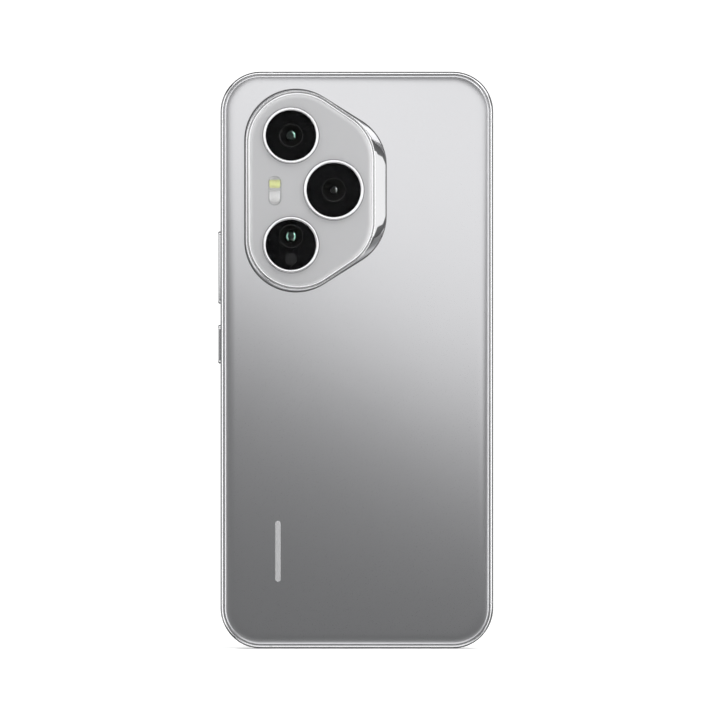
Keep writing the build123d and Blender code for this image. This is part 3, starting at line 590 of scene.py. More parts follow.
def phosphor(name, colour, centre_z, reach):
    """A flash light's phosphor under its lens, with painted light: brightest along its middle and darker
    towards its top and bottom.
    """
    surface = Surface(name, Roughness=0.35)
    height = surface.axis(surface.place(centre=(0, 0, centre_z)), "Z")
    # Painted highlight across the plate's middle.
    painted_glow = 1.0 - (height.absolute() / reach) ** 2.0
    fine = surface.noise(3.0)
    surface.set(Base_Color=surface.vary(painted_glow * (0.8 + 0.2 * fine), colour, 0.62))
    return surface.material


def solder_mask(name):
    """A green board with faint copper tracks."""
    surface = Surface(name, Roughness=0.35)
    tracks = surface.node("ShaderNodeTexBrick", {"offset": 0.5}, {
        "Vector": surface.place((0.5, 0.5, 0.5)), "Scale": 1.0, "Mortar Size": 0.04,
        "Color1": (0.01, 0.08, 0.05), "Color2": (0.012, 0.1, 0.06), "Mortar": (0.03, 0.16, 0.09)})
    surface.set(Base_Color=tracks)
    return surface.material


def brushed(name, colour, roughness=0.3):
    """Pressed sheet metal brushed along its length."""
    surface = Surface(name, Metallic=1.0)
    lines = surface.noise(2.0, detail=4.0, stretch=(4, 4, 0.1))
    surface.set(Base_Color=surface.vary(lines, colour, 0.85, 1.1),
                Roughness=lines * 0.15 + (roughness - 0.07))
    return surface.material


def woven_mesh(name):
    """Black acoustic mesh."""
    surface = Surface(name, Roughness=0.6)
    fine = surface.noise(20.0)
    surface.set(Base_Color=surface.blend(fine, (0.012, 0.012, 0.012), (0.03, 0.03, 0.03)))
    return surface.material


# Geometry Nodes

class NodeTree:
    """A Geometry Nodes tree with named inputs, ending in Realize Instances and Set Material."""

    def __init__(self, name, **inputs):
        self.tree = bpy.data.node_groups.new(name, "GeometryNodeTree")
        self.sockets = {}
        for label, (kind, default) in inputs.items():
            socket = self.tree.interface.new_socket(label, in_out="INPUT", socket_type=kind)
            if default is not None:
                socket.default_value = default
            self.sockets[label] = socket.identifier
        self.tree.interface.new_socket("Geometry", in_out="OUTPUT", socket_type="NodeSocketGeometry")
        self.entry = self.tree.nodes.new("NodeGroupInput")

    def value(self, label):
        """The socket of one of the tree's inputs."""
        return self.entry.outputs[label]

    def node(self, kind, settings=None, inputs=None, output=0):
        """Adds a node and returns one of its outputs."""
        made = self.tree.nodes.new(kind)
        for name, value in (settings or {}).items():
            setattr(made, name, value)
        for name, value in (inputs or {}).items():
            if isinstance(value, bpy.types.NodeSocket):
                self.tree.links.new(value, made.inputs[name])
            else:
                made.inputs[name].default_value = value
        return made.outputs[output]

    def math(self, operation, first, second):
        """Adds one Math node and returns its result."""
        return self.node("ShaderNodeMath", {"operation": operation}, {0: first, 1: second})

    def close(self, geometry):
        """Realizes the instances, sets the material and ends the tree."""
        real = self.node("GeometryNodeRealizeInstances", inputs={"Geometry": geometry})
        done = self.node("GeometryNodeSetMaterial", inputs={
            "Geometry": real, "Material": self.value("Material")})
        self.tree.links.new(done, self.tree.nodes.new("NodeGroupOutput").inputs[0])

    def make(self, name, material, slot_name, move, replaces=(), body=PHONE, **values):
        """Runs the tree with its inputs set and keeps the result as a plain mesh."""
        carrier = bpy.data.objects.new(name, bpy.data.meshes.new(name))
        bpy.context.scene.collection.objects.link(carrier)
        modifier = carrier.modifiers.new("Pattern", "NODES")
        modifier.node_group = self.tree
        modifier[self.sockets["Material"]] = material
        for label, value in values.items():
            modifier[self.sockets[label]] = value
        evaluated = carrier.evaluated_get(bpy.context.evaluated_depsgraph_get())
        result = bpy.data.meshes.new_from_object(evaluated)
        carrier.modifiers.clear()
        carrier.data = result
        result.transform(move)
        return enlist(carrier, material, replaces, body)


def round_bar_grid():
    """Two crossed sets of round wires, for a woven grille lying in the XY plane."""
    tree = NodeTree(
        "Woven grille",
        Material=("NodeSocketMaterial", None), Width=("NodeSocketFloat", 0.014),
        Height=("NodeSocketFloat", 0.002), Across=("NodeSocketInt", 48),
        Along=("NodeSocketInt", 8), Wire=("NodeSocketFloat", 0.00004))
    sets = []
    for count, length, reach, along in (("Across", "Height", "Width", False),
                                        ("Along", "Width", "Height", True)):
        turn = (0.0, math.pi / 2, 0.0) if along else (math.pi / 2, 0.0, 0.0)
        wire = tree.node("GeometryNodeMeshCylinder", inputs={
            "Vertices": 6, "Radius": tree.value("Wire"), "Depth": tree.value(length)})
        turned = tree.node("GeometryNodeTransform", inputs={"Geometry": wire, "Rotation": turn})
        ends = []
        for share in (-0.5, 0.5):
            place = tree.math("MULTIPLY", tree.value(reach), share)
            ends.append(tree.node("ShaderNodeCombineXYZ", inputs={"Y" if along else "X": place}))
        line = tree.node("GeometryNodeMeshLine", {"mode": "END_POINTS"}, {
            "Count": tree.value(count), "Start Location": ends[0], "Offset": ends[1]})
        sets.append(tree.node("GeometryNodeInstanceOnPoints", inputs={
            "Points": line, "Instance": turned}))
    joined = tree.tree.nodes.new("GeometryNodeJoinGeometry")
    for geometry in sets:
        tree.tree.links.new(geometry, joined.inputs[0])
    tree.close(joined.outputs[0])
    return tree


def block_row():
    """A row of equal blocks along X, for electrical contacts."""
    tree = NodeTree(
        "Contact row",
        Material=("NodeSocketMaterial", None), Count=("NodeSocketInt", 12),
        Pitch=("NodeSocketFloat", 0.0005), Block=("NodeSocketVector", (0.00025, 0.00004, 0.0034)))
    block = tree.node("GeometryNodeMeshCube", inputs={"Size": tree.value("Block")})
    step = tree.node("ShaderNodeCombineXYZ", inputs={"X": tree.value("Pitch")})
    gaps = tree.math("SUBTRACT", tree.value("Count"), 1.0)
    reach = tree.math("MULTIPLY", gaps, tree.value("Pitch"))
    start = tree.math("MULTIPLY", reach, -0.5)
    first = tree.node("ShaderNodeCombineXYZ", inputs={"X": start})
    line = tree.node("GeometryNodeMeshLine", {"mode": "OFFSET"}, {
        "Count": tree.value("Count"), "Start Location": first, "Offset": step})
    tree.close(tree.node("GeometryNodeInstanceOnPoints", inputs={"Points": line, "Instance": block}))
    return tree


def ring_stack():
    """Rings that shrink step by step, for the prisms moulded into a flash lens."""
    tree = NodeTree(
        "Prism rings",
        Material=("NodeSocketMaterial", None), Count=("NodeSocketInt", 5),
        Radius=("NodeSocketFloat", 0.0014), Ridge=("NodeSocketFloat", 0.00005))
    loop = tree.node("GeometryNodeCurvePrimitiveCircle", {"mode": "RADIUS"}, {
        "Resolution": 48, "Radius": 1.0}, output="Curve")
    points = tree.node("GeometryNodeMeshLine", {"mode": "OFFSET"}, {
        "Count": tree.value("Count"), "Offset": (0.0, 0.0, 0.0)})
    index = tree.node("GeometryNodeInputIndex")
    rank = tree.math("ADD", index, 1.0)
    share = tree.math("DIVIDE", rank, tree.value("Count"))
    scale = tree.math("MULTIPLY", share, tree.value("Radius"))
    loops = tree.node("GeometryNodeInstanceOnPoints", inputs={
        "Points": points, "Instance": loop, "Scale": scale})
    real = tree.node("GeometryNodeRealizeInstances", inputs={"Geometry": loops})
    profile = tree.node("GeometryNodeCurvePrimitiveCircle", {"mode": "RADIUS"}, {
        "Resolution": 6, "Radius": tree.value("Ridge")}, output="Curve")
    tree.close(tree.node("GeometryNodeCurveToMesh", inputs={"Curve": real, "Profile Curve": profile}))
    return tree


# Operators

class PHONE_OT_rear_glass(bpy.types.Operator):
    """Make the satin rear glass with its rolled edge and the hole for the camera island"""

    bl_idname = "phone.rear_glass"
    bl_label = "Rear glass"

    def execute(self, context):
        sizes = context.scene.phone_sizes
        island = context.scene.island_sizes
        start = FRAME_HIGH[0] - GLASS_HIGH[0] + sizes.glass_gap
        foot = GLASS_LOW[1]
        undercut = 0.12
        margin = 0.25
        island_gap = 0.04
        shape = Shape()
        under = shape.ring(phone_outline(sizes.corner, start + undercut), foot)
        rings = [under]
        for inset, level in self.edge(sizes):
            rings.append(shape.ring(phone_outline(sizes.corner, start + inset), level))
        flat = start + sizes.edge_width + margin
        rings.append(shape.ring(phone_outline(sizes.corner, flat), BACK))
        shape.skin(rings)
        uppers, lowers = shape.walls([base_outline(island, island_gap)], BACK, foot)
        shape.cap(rings[-1], *uppers)
        shape.cap(under, *lowers)
        finish = satin_glass("Satin glass", context.scene.finishes.glass, roughness=0.28)
        shape.finish("rear_glass", finish, "rear_glass", replaces=("rear_cover",), crease=40)
        self.gasket(sizes, start)
        return {"FINISHED"}

    def gasket(self, sizes, start):
        """The thin dark gasket between the side frame and the rear glass."""
        bevel = 0.04
        drop = 0.06
        outer = 0.9
        inner = start - 0.02
        top = FRAME_BACK + 0.03
        foot = top - 0.15
        profile = [(outer, foot), (outer, top - bevel), (outer + bevel, top), (inner - bevel, top),
                   (inner, top - drop), (inner, foot)]
        shape = Shape()
        shape.closed([shape.ring(phone_outline(sizes.corner, inset), level)
                      for inset, level in profile])
        finish = moulded("Edge gasket", (0.13, 0.13, 0.132), roughness=0.5)
        shape.finish("rear_gasket", finish, "black_adhesive")

    def edge(self, sizes):
        """Insets and levels across the curved edge, from a slope that eases to flat."""
        bead_steps = 6
        bead_lean = 42
        bead_ease = 3.5
        curve_steps = 24
        roll = 1.6
        bead = sizes.bead_width / bead_steps
        curve = (sizes.edge_width - sizes.bead_width) / curve_steps
        slopes = [(bead, bead_lean - bead_ease * i) for i in range(bead_steps)]
        slopes += [(curve, sizes.edge_lean * (1 - i / curve_steps) ** roll)
                   for i in range(curve_steps)]
        drops = [step * math.tan(math.radians(angle)) for step, angle in slopes]
        inset, level = 0.0, BACK - sum(drops)
        places = [(inset, level)]
        for (step, _), drop in zip(slopes, drops):
            inset += step
            level += drop
            places.append((inset, level))
        return places


class PHONE_OT_plain_bar(bpy.types.Operator):
    """Make the plain reflective bar low on the rear glass"""

    bl_idname = "phone.plain_bar"
    bl_label = "Plain bar"

    def execute(self, context):
        sizes = context.scene.phone_sizes
        centre = (-22.0, 27.1)
        bevel = 0.06
        shape = Shape()
        shape.solid(pill(centre, sizes.bar_width, sizes.bar_length,
                         [(0, BACK - 0.02), (0, BACK + 0.012), (bevel, BACK + 0.02)]))
        finish = moulded("Silver print", (0.31, 0.31, 0.315), roughness=0.35)
        shape.finish("plain_bar", finish, "polished_metal")
        return {"FINISHED"}


class PHONE_OT_island(bpy.types.Operator):
    """Make the camera island's sloping bright rim and its satin deck"""

    bl_idname = "phone.island"
    bl_label = "Camera island"

    def execute(self, context):
        sizes = context.scene.island_sizes
        finishes = context.scene.finishes
        self.rim(sizes, finishes)
        self.gasket(sizes)
        self.deck(sizes, finishes)
        return {"FINISHED"}

    def rim(self, sizes, finishes):
        """The bright rim: from its toe up a wall that leans in, over a rounded shoulder and a
        groove, across the flat lip and down inside. A profile point has its share of the way from
        the base outline to the top one, its growth and its level."""
        lip = DECK + 0.22
        edge = lip - 0.12
        toe = BACK + 0.12
        toe_share = 0.03
        groove = edge - 0.22
        inner = -1.6
        buried = DECK - 1.0
        foot = span("island_rim")[0][1]
        wall_steps = 4
        shoulder_steps = 6
        shoulder = 0.45
        meeting = math.radians(36)

        def rounded(turn):
            return shoulder * math.sin(turn), edge - shoulder * (1 - math.cos(turn))

        reach, wall_top = rounded(meeting)
        profile = [(1, inner, foot), (0, 0.0, foot), (0, 0.0, BACK - 0.02), (0, -0.02, BACK + 0.05),
                   (toe_share, 0.0, toe)]
        for i in range(1, wall_steps + 1):
            way = i / wall_steps
            profile.append((toe_share + (1 - toe_share) * way, reach * way,
                            toe + (wall_top - toe) * way))
        for i in range(shoulder_steps - 1, -1, -1):
            profile.append((1, *rounded(meeting * i / shoulder_steps)))
        crest = [(-0.03, edge - 0.02), (-0.05, groove), (-0.22, groove), (-0.24, lip - 0.02),
                 (-0.27, lip), (0.14 - sizes.lip, lip), (0.1 - sizes.lip, lip - 0.01),
                 (0.05 - sizes.lip, lip - 0.08), (-sizes.lip, lip - 0.18), (-sizes.lip, buried),
                 (inner, buried)]
        profile += [(1, grow, level) for grow, level in crest]
        shape = Shape()
        rings = []
        for share, grow, level in profile:
            outline = between(base_outline(sizes, grow), top_outline(sizes, grow), share)
            rings.append(shape.ring(outline, level))
        shape.closed(rings)
        finish = polished_metal("Polished rim", finishes.bright, roughness=0.05)
        shape.finish("island_rim_polished", finish, "polished_metal", replaces=("island_rim",),
                     crease=50)

    def gasket(self, sizes):
        """Painted shade: a dark ring at the rim's foot stands in for the rim's contact shadow on the
        rear glass, and a dark fill in the groove between its wall and its lip stands in for the groove's
        shade.
        """
        bead = [(0.03, BACK - 0.1), (0.2, BACK - 0.1), (0.22, BACK + 0.02), (0.1, BACK + 0.06),
                (0.03, BACK + 0.06)]
        bed = DECK - 0.13
        top = bed + 0.06
        groove_shade = [(-0.06, bed), (-0.06, top), (-0.21, top), (-0.21, bed)]
        # Both rings are painted shade.
        finish = moulded("Painted dark shade", (0.11, 0.11, 0.112), roughness=0.6)
        for name, outline, profile in (("island_foot_shadow", base_outline, bead),
                                       ("island_groove_shade", top_outline, groove_shade)):
            shape = Shape()
            shape.closed([shape.ring(outline(sizes, grow), level) for grow, level in profile])
            shape.finish(name, finish, "black_adhesive")

    def deck(self, sizes, finishes):
        """The satin deck, curved down at its border, with holes for the lenses and the flash. Its curved
        border carries a painted highlight, lightest at the rim.
        """
        fall = 0.12
        ease = 2.2
        steps = 6
        flat_margin = 0.3
        lens_margin = 0.6
        flash_margin = 0.1
        shape = Shape()
        rings = [shape.ring(self.border(sizes, 0.0), DECK_LOW[1])]
        for i in range(steps + 1):
            share = i / steps
            # The same share sets how far the border curves down and how much painted highlight it
            # carries.
            fall_and_highlight = (1 - share) ** ease
            border = self.border(sizes, sizes.band * share)
            rings.append(shape.ring(border, DECK - fall * fall_and_highlight, fall_and_highlight))
        rings.append(shape.ring(self.border(sizes, sizes.band + flat_margin), DECK))
        shape.skin(rings)
        covers = [f"{name}_lens_cover" for name in CAMERAS]
        holes = [circle(centre_of(cover), radius_of(cover) + lens_margin) for cover in covers]
        holes.append(slot(centre_of("flash_window"), sizes.flash_width + flash_margin,
                          sizes.flash_height + flash_margin))
        uppers, lowers = shape.walls(holes, DECK, DECK_LOW[1])
        shape.cap(rings[-1], *uppers)
        shape.cap(rings[0], *lowers)
        # The border colour is a painted highlight: a lighter band standing in for the lights' reflection
        # along the curved border.
        finish = satin_glass("Satin deck", finishes.deck, roughness=0.3, metallic=0.45,
                             border=shade(finishes.bright, 0.85))
        shape.finish("island_deck_satin", finish, "deck_satin", replaces=("island_deck",))

    def border(self, sizes, inset):
        """The deck's outline, just inside the rim's lip, brought in by an inset."""
        gap = 0.03
        return top_outline(sizes, -sizes.lip - gap - inset)


class PHONE_OT_lenses(bpy.types.Operator):
    """Make each camera's ring, cover glass, black mask, funnel and front element"""

    bl_idname = "phone.lenses"
    bl_label = "Lenses"

    def execute(self, context):
        sizes = context.scene.lens_sizes
        finishes = context.scene.finishes
        glass = clear_glass("Cover glass")
        ink = gloss_black("Mask ink")
        black = gloss_black("Funnel black", (0.002, 0.002, 0.002), roughness=0.4, shine=0.05)
        ridge = gloss_black("Ridge black", (0.014, 0.014, 0.015), roughness=0.4, shine=0.3)
        opening_margin = 0.15
        mask_gap = 0.012
        for name in CAMERAS:
            low, high = span(f"{name}_lens_cover")
            centre = centre_of(f"{name}_lens_cover")
            cover = radius_of(f"{name}_lens_cover")
            radius = radius_of(f"{name}_lens_ring")
            eye = centre_of(f"{name}_lens_barrel")
            self.ring(name, centre, cover, radius, sizes, finishes)
            self.gasket(name, centre, radius, sizes)
            self.cover(name, centre, cover, low[1], high[1], glass)
            opening = sizes.ridge + opening_margin
            self.mask(name, centre, cover, eye, opening, low[1] - mask_gap, ink)
            self.barrel(name, eye, black, ridge, sizes, finishes)
        return {"FINISHED"}

    def ring(self, name, centre, cover, radius, sizes, finishes):
        """A bright turned ring: its outside, its rounded top and the seat inside it."""
        foot = span(f"{name}_lens_ring")[0][1]
        top = DECK + sizes.ring_height
        bore = cover + 0.04
        skirt = bore + 0.5
        seat = bore - 0.8
        seat_level = top - 1.06
        outside = [(skirt, foot), (skirt, DECK - 0.02), (radius - 0.02, DECK + 0.02),
                   (radius, DECK + 0.1)]
        crown = [(radius, top - 0.16), (radius - 0.03, top - 0.08), (radius - 0.08, top - 0.02),
                 (radius - 0.13, top), (bore + 0.12, top), (bore + 0.05, top - 0.03),
                 (bore, top - 0.1)]
        inside = [(bore, seat_level), (seat, seat_level), (seat, foot)]
        shape = Shape()
        shape.closed_turned(centre, outside + crown + inside, RING_POINTS)
        finish = turned_metal(f"Turned ring {name}", finishes.bright, centre)
        shape.finish(f"{name}_ring_turned", finish, "polished_metal",
                     replaces=(f"{name}_lens_ring",), crease=40)

    def gasket(self, name, centre, radius, sizes):
        """A thin dark ring between a lens ring and the deck: painted shadow round the ring's foot."""
        inner = radius - 0.25
        outer = radius + sizes.gasket
        foot = DECK - 0.02
        top = DECK + 0.04
        profile = [(inner, foot), (outer, foot), (outer, DECK + 0.01), (outer - 0.05, top), (inner, top)]
        shape = Shape()
        shape.closed_turned(centre, profile, RING_POINTS)
        # Painted shadow at the lens ring's foot.
        finish = moulded(f"Ring gasket {name}", (0.06, 0.06, 0.062), roughness=0.6)
        shape.finish(f"{name}_ring_gasket", finish, "black_adhesive")

    def cover(self, name, centre, radius, foot, top, glass):
        """A cover glass with a bevelled foot and a rounded outer edge."""
        bevel = 0.05
        corner = 0.06
        edge = 0.2
        profile = [(0, foot), (radius - bevel, foot), (radius, foot + bevel), (radius, top - edge),
                   (radius - corner, top - corner), (radius - edge, top), (radius * 0.5, top),
                   (0, top)]
        shape = Shape()
        shape.turned(centre, profile)
        shape.finish(f"{name}_cover_glass", glass, "lens_glass", replaces=(f"{name}_lens_cover",))

    def mask(self, name, centre, cover, eye, opening, level, ink):
        """The black mask behind a cover glass, open over the lens and over the small sensor."""
        thickness = 0.045
        overlap = 0.02
        window = 1.7
        outlines = [circle(centre, cover + overlap), circle(eye, opening)]
        if name == "lower":
            sensor = centre_of("light_sensor")
            outlines.append(circle(sensor, window, SMALL_POINTS))
            self.sensor_window(sensor, window - 0.02, level - 0.01)
        shape = Shape()
        uppers, lowers = shape.walls(outlines, level, level - thickness)
        shape.cap(*uppers)
        shape.cap(*lowers)
        shape.finish(f"{name}_mask", ink, "lens_black")

    def sensor_window(self, centre, radius, level):
        """The dark filter in the mask's small opening."""
        foot = level - 0.3
        shape = Shape()
        shape.turned(centre, [(0, foot), (radius, foot), (radius, level), (0, level)], SMALL_POINTS)
        finish = gloss_black("Sensor filter", (0.011, 0.011, 0.0115), roughness=0.4, shine=0.1)
        shape.finish("sensor_window", finish, "sensor_dark")

    def barrel(self, name, eye, black, ridge, sizes, finishes):
        """A moving barrel: its body with a stepped funnel, a faint ridge and the front element."""
        node = f"{name}_lens_barrel"
        low, high = span(node)
        foot = low[1]
        top = high[1]
        radius = radius_of(node)
        element = sizes.elements[CAMERAS.index(name)]
        rim = sizes.ridge
        profile = [(0, foot), (radius, foot), (radius, top - 0.25), (radius - 0.2, top - 0.05),
                   (rim + 0.05, top - 0.05), (rim, top), (rim - 0.22, top), (rim - 0.27, top - 0.07)]
        mouth = rim - 0.3
        mouth_level = top - 0.1
        depth = 0.9
        step_lean = 0.03
        steps = sizes.baffle_steps
        for i in range(steps):
            inner = mouth - (mouth - element) * (i + 1) / steps
            level = mouth_level - depth * i / steps
            profile += [(inner + step_lean, level), (inner, level - depth / steps)]
        throat = mouth_level - depth
        profile.append((0, throat))
        shape = Shape()
        shape.turned(eye, profile)
        shape.finish(f"{name}_barrel_black", black, "lens_black", replaces=(node,), body=node, crease=25)
        shape = Shape()
        shape.closed_turned(eye, [(rim - 0.26, top - 0.02), (rim - 0.2, top + 0.03),
                                  (rim - 0.06, top + 0.03), (rim, top - 0.02)])
        shape.finish(f"{name}_barrel_ridge", ridge, "lens_black", body=node)
        self.element(name, eye, element, throat, finishes)

    def element(self, name, eye, radius, level, finishes):
        """A domed front element with a painted crescent of reflection, tinted by its coating's colour
        except in the main camera.
        """
        foot = level - 0.05
        crown = radius * 0.42
        steps = 10
        shape = Shape()
        profile = [(0, foot), (radius, foot), *dome(radius, level, crown, steps)]
        shape.turned(eye, profile, ELEMENT_POINTS)
        tint = finishes.coating if name != "main" else (0.3, 0.31, 0.31)
        finish = lens_with_painted_crescent(f"Painted crescent element {name}", tint, eye, radius, *CRESCENT_LEANS[name])
        shape.finish(f"{name}_front_element", finish, "lens_glass", body=f"{name}_lens_barrel")


class PHONE_OT_flash(bpy.types.Operator):
    """Make the flash: a clear pill with moulded prisms over a warm and a cool light"""

    bl_idname = "phone.flash"
    bl_label = "Flash"

    def execute(self, context):
        sizes = context.scene.island_sizes
        finishes = context.scene.finishes
        centre = centre_of("flash_window")
        top = span("flash_window")[1][1]
        foot = top - 0.35
        shape = Shape()
        shape.solid(pill(centre, sizes.flash_width, sizes.flash_height, [
            (0.3, foot), (0, foot), (0, top - 0.1), (0.12, top - 0.03), (0.3, top), (0.5, top)]))
        window = clear_glass("Flash lens", ior=1.45)
        shape.finish("flash_lens", window, "flash_plastic", replaces=("flash_window",))
        self.bowl(centre, sizes, foot)

        # Each light's colour and slot, its plate's height above the flash's middle, the plate's
        # width and height, and the radius of the plate's lower corners
        halves = {"warm": (finishes.warm, "led_warm", 1.87, (3.0, 2.3), 0.5),
                  "cool": (finishes.cool, "led_cool", -1.58, (2.9, 3.1), 1.1)}
        plate_top = foot - 0.03
        prism_level = foot - 0.01
        prisms = ring_stack()
        for label, (colour, slot_name, offset, plate, turn) in halves.items():
            half = (centre[0], centre[1] + offset)
            self.phosphor(label, colour, slot_name, half, plate, turn, plate_top)
            move = Matrix.Translation(at(half[0], prism_level, half[1]))
            prisms.make(f"flash_prisms_{label}", window, "flash_plastic",
                        move @ Matrix.Rotation(math.pi / 2, 4, "X"),
                        Radius=1.1 * MM, Ridge=0.03 * MM, Count=4)
            frame["nodes"][f"flash_led_{label}"].data.materials[0] = moulded(
                f"Light {label}", colour, roughness=0.4)
        return {"FINISHED"}

    def bowl(self, centre, sizes, top):
        """The pale moulding under the clear window."""
        shape = Shape()
        shape.solid(pill(centre, sizes.flash_width, sizes.flash_height, [
            (0.02, top - 0.27), (0.02, top), (0.3, top - 0.15), (0.5, top - 0.17)]))
        finish = moulded("Flash bowl", (0.5, 0.5, 0.5), roughness=0.25, metallic=0.4)
        shape.finish("flash_bowl", finish, "flash_plastic")

    def phosphor(self, label, colour, slot_name, centre, plate, lower_turn, top):
        """A rounded plate of phosphor over one of the two lights."""
        width, height = plate
        upper_turn = 0.35
        outline = []
        for corner, (side, rise) in enumerate(((1, 1), (-1, 1), (-1, -1), (1, -1))):
            turn = lower_turn if rise < 0 else upper_turn
            pivot = (centre[0] + side * (width / 2 - turn), centre[1] + rise * (height / 2 - turn))
            outline += arc(pivot, turn, 90 * corner, 90 * corner + 90, 9)
        bevel = 0.07
        inner = between(outline, [centre] * len(outline), bevel)
        shape = Shape()
        shape.solid([(outline, top - 0.16), (outline, top - 0.05), (inner, top)])
        finish = phosphor(f"Phosphor {label}", colour, centre[1], height / 2)
        shape.finish(f"flash_phosphor_{label}", finish, slot_name)


class PHONE_OT_display(bpy.types.Operator):
    """Make the black ink behind the display glass and the lenses in the pill cut-out"""

    bl_idname = "phone.display"
    bl_label = "Display"

    def execute(self, context):
        corner = context.scene.phone_sizes.corner
        nodes = frame["nodes"]
        nodes["display_glass"].data.materials[0] = clear_glass("Display glass", ior=1.5)
        nodes["display_panel"].data.materials[0] = self.panel_finish()
        self.border(corner)
        for node in ("front_camera", "front_depth_camera"):
            self.front_element(node)
        return {"FINISHED"}

    def border(self, corner):
        """The frame of ink round the display, behind its glass."""
        front = span("display_glass")[1][1] + 0.02
        thickness = 0.02
        outer = 1.35
        inner = 3.5
        shape = Shape()
        outlines = [phone_outline(corner, inset) for inset in (outer, inner)]
        for rings in shape.walls(outlines, front + thickness, front):
            shape.wall(*rings)
        ink = gloss_black("Border ink", (0.004, 0.004, 0.004), roughness=0.3)
        shape.finish("border_ink", ink, "black_adhesive")

    def front_element(self, node):
        """A front camera's small dome, which faces the display's side."""
        centre = centre_of(node)
        radius = 1.0
        rim = span(node)[0][1] + 0.34
        crown = -0.3
        steps = 6
        lean = 40
        shape = Shape()
        shape.turned(centre, [(0, rim), *dome(radius, rim, crown, steps)], SMALL_POINTS)
        # The small dome carries a painted crescent of reflection.
        finish = lens_with_painted_crescent(f"Painted crescent {node}", (0.12, 0.2, 0.5), centre, radius, lean, False)
        shape.finish(f"{node}_element", finish, "lens_glass")

    def panel_finish(self):
        """Near-black, with the faint stripes of the display's rows."""
        rows_per_mm = 8
        surface = Surface("Display stack", Roughness=0.12, Specular_IOR_Level=0.08)
        rows = surface.axis(surface.place((rows_per_mm,) * 3), "Z")
        stripes = rows.sine() * 0.5 + 0.5
        surface.set(Base_Color=surface.blend(stripes, (0.003, 0.003, 0.004), (0.007, 0.007, 0.009)))
        return surface.material


class PHONE_OT_openings(bpy.types.Operator):
    """Make the woven grilles and the port's contacts"""

    bl_idname = "phone.openings"
    bl_label = "Grilles and port"

    def execute(self, context):
        self.grilles()
        self.contacts()
        return {"FINISHED"}

    def grilles(self):
        """A woven grille over the loudspeaker, facing down, and one over the earpiece."""
        weave = round_bar_grid()
        mesh = woven_mesh("Acoustic weave")
        pitch = 0.22
        fewest = 3
        for node, flat in (("loudspeaker_mesh", True), ("earpiece_mesh", False)):
            low, high = span(node)
            width = high[0] - low[0]
            depth = high[1] - low[1] if flat else high[2] - low[2]
            turn = Matrix.Identity(4) if flat else Matrix.Rotation(math.pi / 2, 4, "X")
            weave.make(f"{node}_weave", mesh, "mesh_dark",
                       Matrix.Translation(at(*middle(node))) @ turn, replaces=(node,),
                       Width=width * MM, Height=depth * MM, Wire=0.05 * MM,
                       Across=int(width / pitch), Along=max(fewest, int(depth / pitch)))

    def contacts(self):
        """A row of gold contacts on each face of the port's tongue."""
        row = block_row()
        gold = moulded("Gold contact", (0.83, 0.62, 0.25), roughness=0.25, metallic=1.0)
        low, high = span("charging_port_tongue")
        height = low[2] + 2.1
        level = high[1] + 0.01
        for face, side in (("front", -1), ("rear", 1)):
            row.make(f"port_contacts_{face}", gold, "copper",
                     Matrix.Translation(at(0, side * level, height)), Count=12, Pitch=0.5 * MM)


class PHONE_OT_finishes(bpy.types.Operator):
    """Give every node that stays from the frame its finish"""

    bl_idname = "phone.finishes"
    bl_label = "Finishes"

    def execute(self, context):
        colours = context.scene.finishes
        steel = brushed("Pressed steel", (0.6, 0.6, 0.62))
        black = moulded("Black moulding", (0.02, 0.02, 0.021), roughness=0.5)
        flex = moulded("Amber film", (0.4, 0.18, 0.04), roughness=0.3)
        board = solder_mask("Board")
        copper = brushed("Copper", (0.78, 0.4, 0.25), roughness=0.25)
        dark = gloss_black("Anodised black", (0.014, 0.014, 0.015), roughness=0.3)
        families = {
            polished_metal("Polished frame", colours.frame, roughness=0.16): ("side_frame",),
            polished_metal("Polished keys", shade(colours.frame, 0.97), roughness=0.1): (
                "power_key", "volume_key", "sim_tray"),
            moulded("Antenna plastic", shade(colours.frame, 0.9), roughness=0.22, metallic=0.9): (
                "antenna_bands",),
            brushed("Inner alloy", (0.5, 0.5, 0.52), roughness=0.45): ("mid_plate",),
            steel: ("sim_reader", "eject_plunger", "eject_lever", "shield_cans", "microphones",
                    "vibration_motor_case", "cover_screws"),
            brushed("Drawn steel", (0.55, 0.55, 0.57), roughness=0.25): ("charging_port_shell",),
            black: ("charging_port_tongue", "loudspeaker", "earpiece_speaker", "board_cover"),
            moulded("Foam tape", (0.015, 0.015, 0.015), roughness=0.9): (
                "rear_cover_adhesive", "display_adhesive"),
            flex: ("key_flex", "main_flex"),
            board: ("main_board", "sub_board", "flash_board"),
            copper: ("vapour_chamber", "charging_coil"),
            moulded("Graphite", (0.05, 0.05, 0.055), roughness=0.4): ("graphite_sheet",),
            moulded("Battery wrap", (0.03, 0.03, 0.033), roughness=0.4): ("battery",),
            moulded("Green film", (0.15, 0.5, 0.22), roughness=0.35): ("battery_pull_tab",),
            moulded("Card plastic", (0.82, 0.82, 0.82), roughness=0.4): ("sim_card",),
            moulded("Dense metal", (0.3, 0.3, 0.31), roughness=0.4, metallic=1.0): (
                "vibration_motor_mass",),
            dark: ("front_camera", "front_depth_camera", "fingerprint_sensor", "light_sensor",
                   "upper_camera_housing", "main_camera_housing", "lower_camera_housing"),
        }
        for material, names in families.items():
            for name in names:
                frame["nodes"][name].data.materials[0] = material
        return {"FINISHED"}


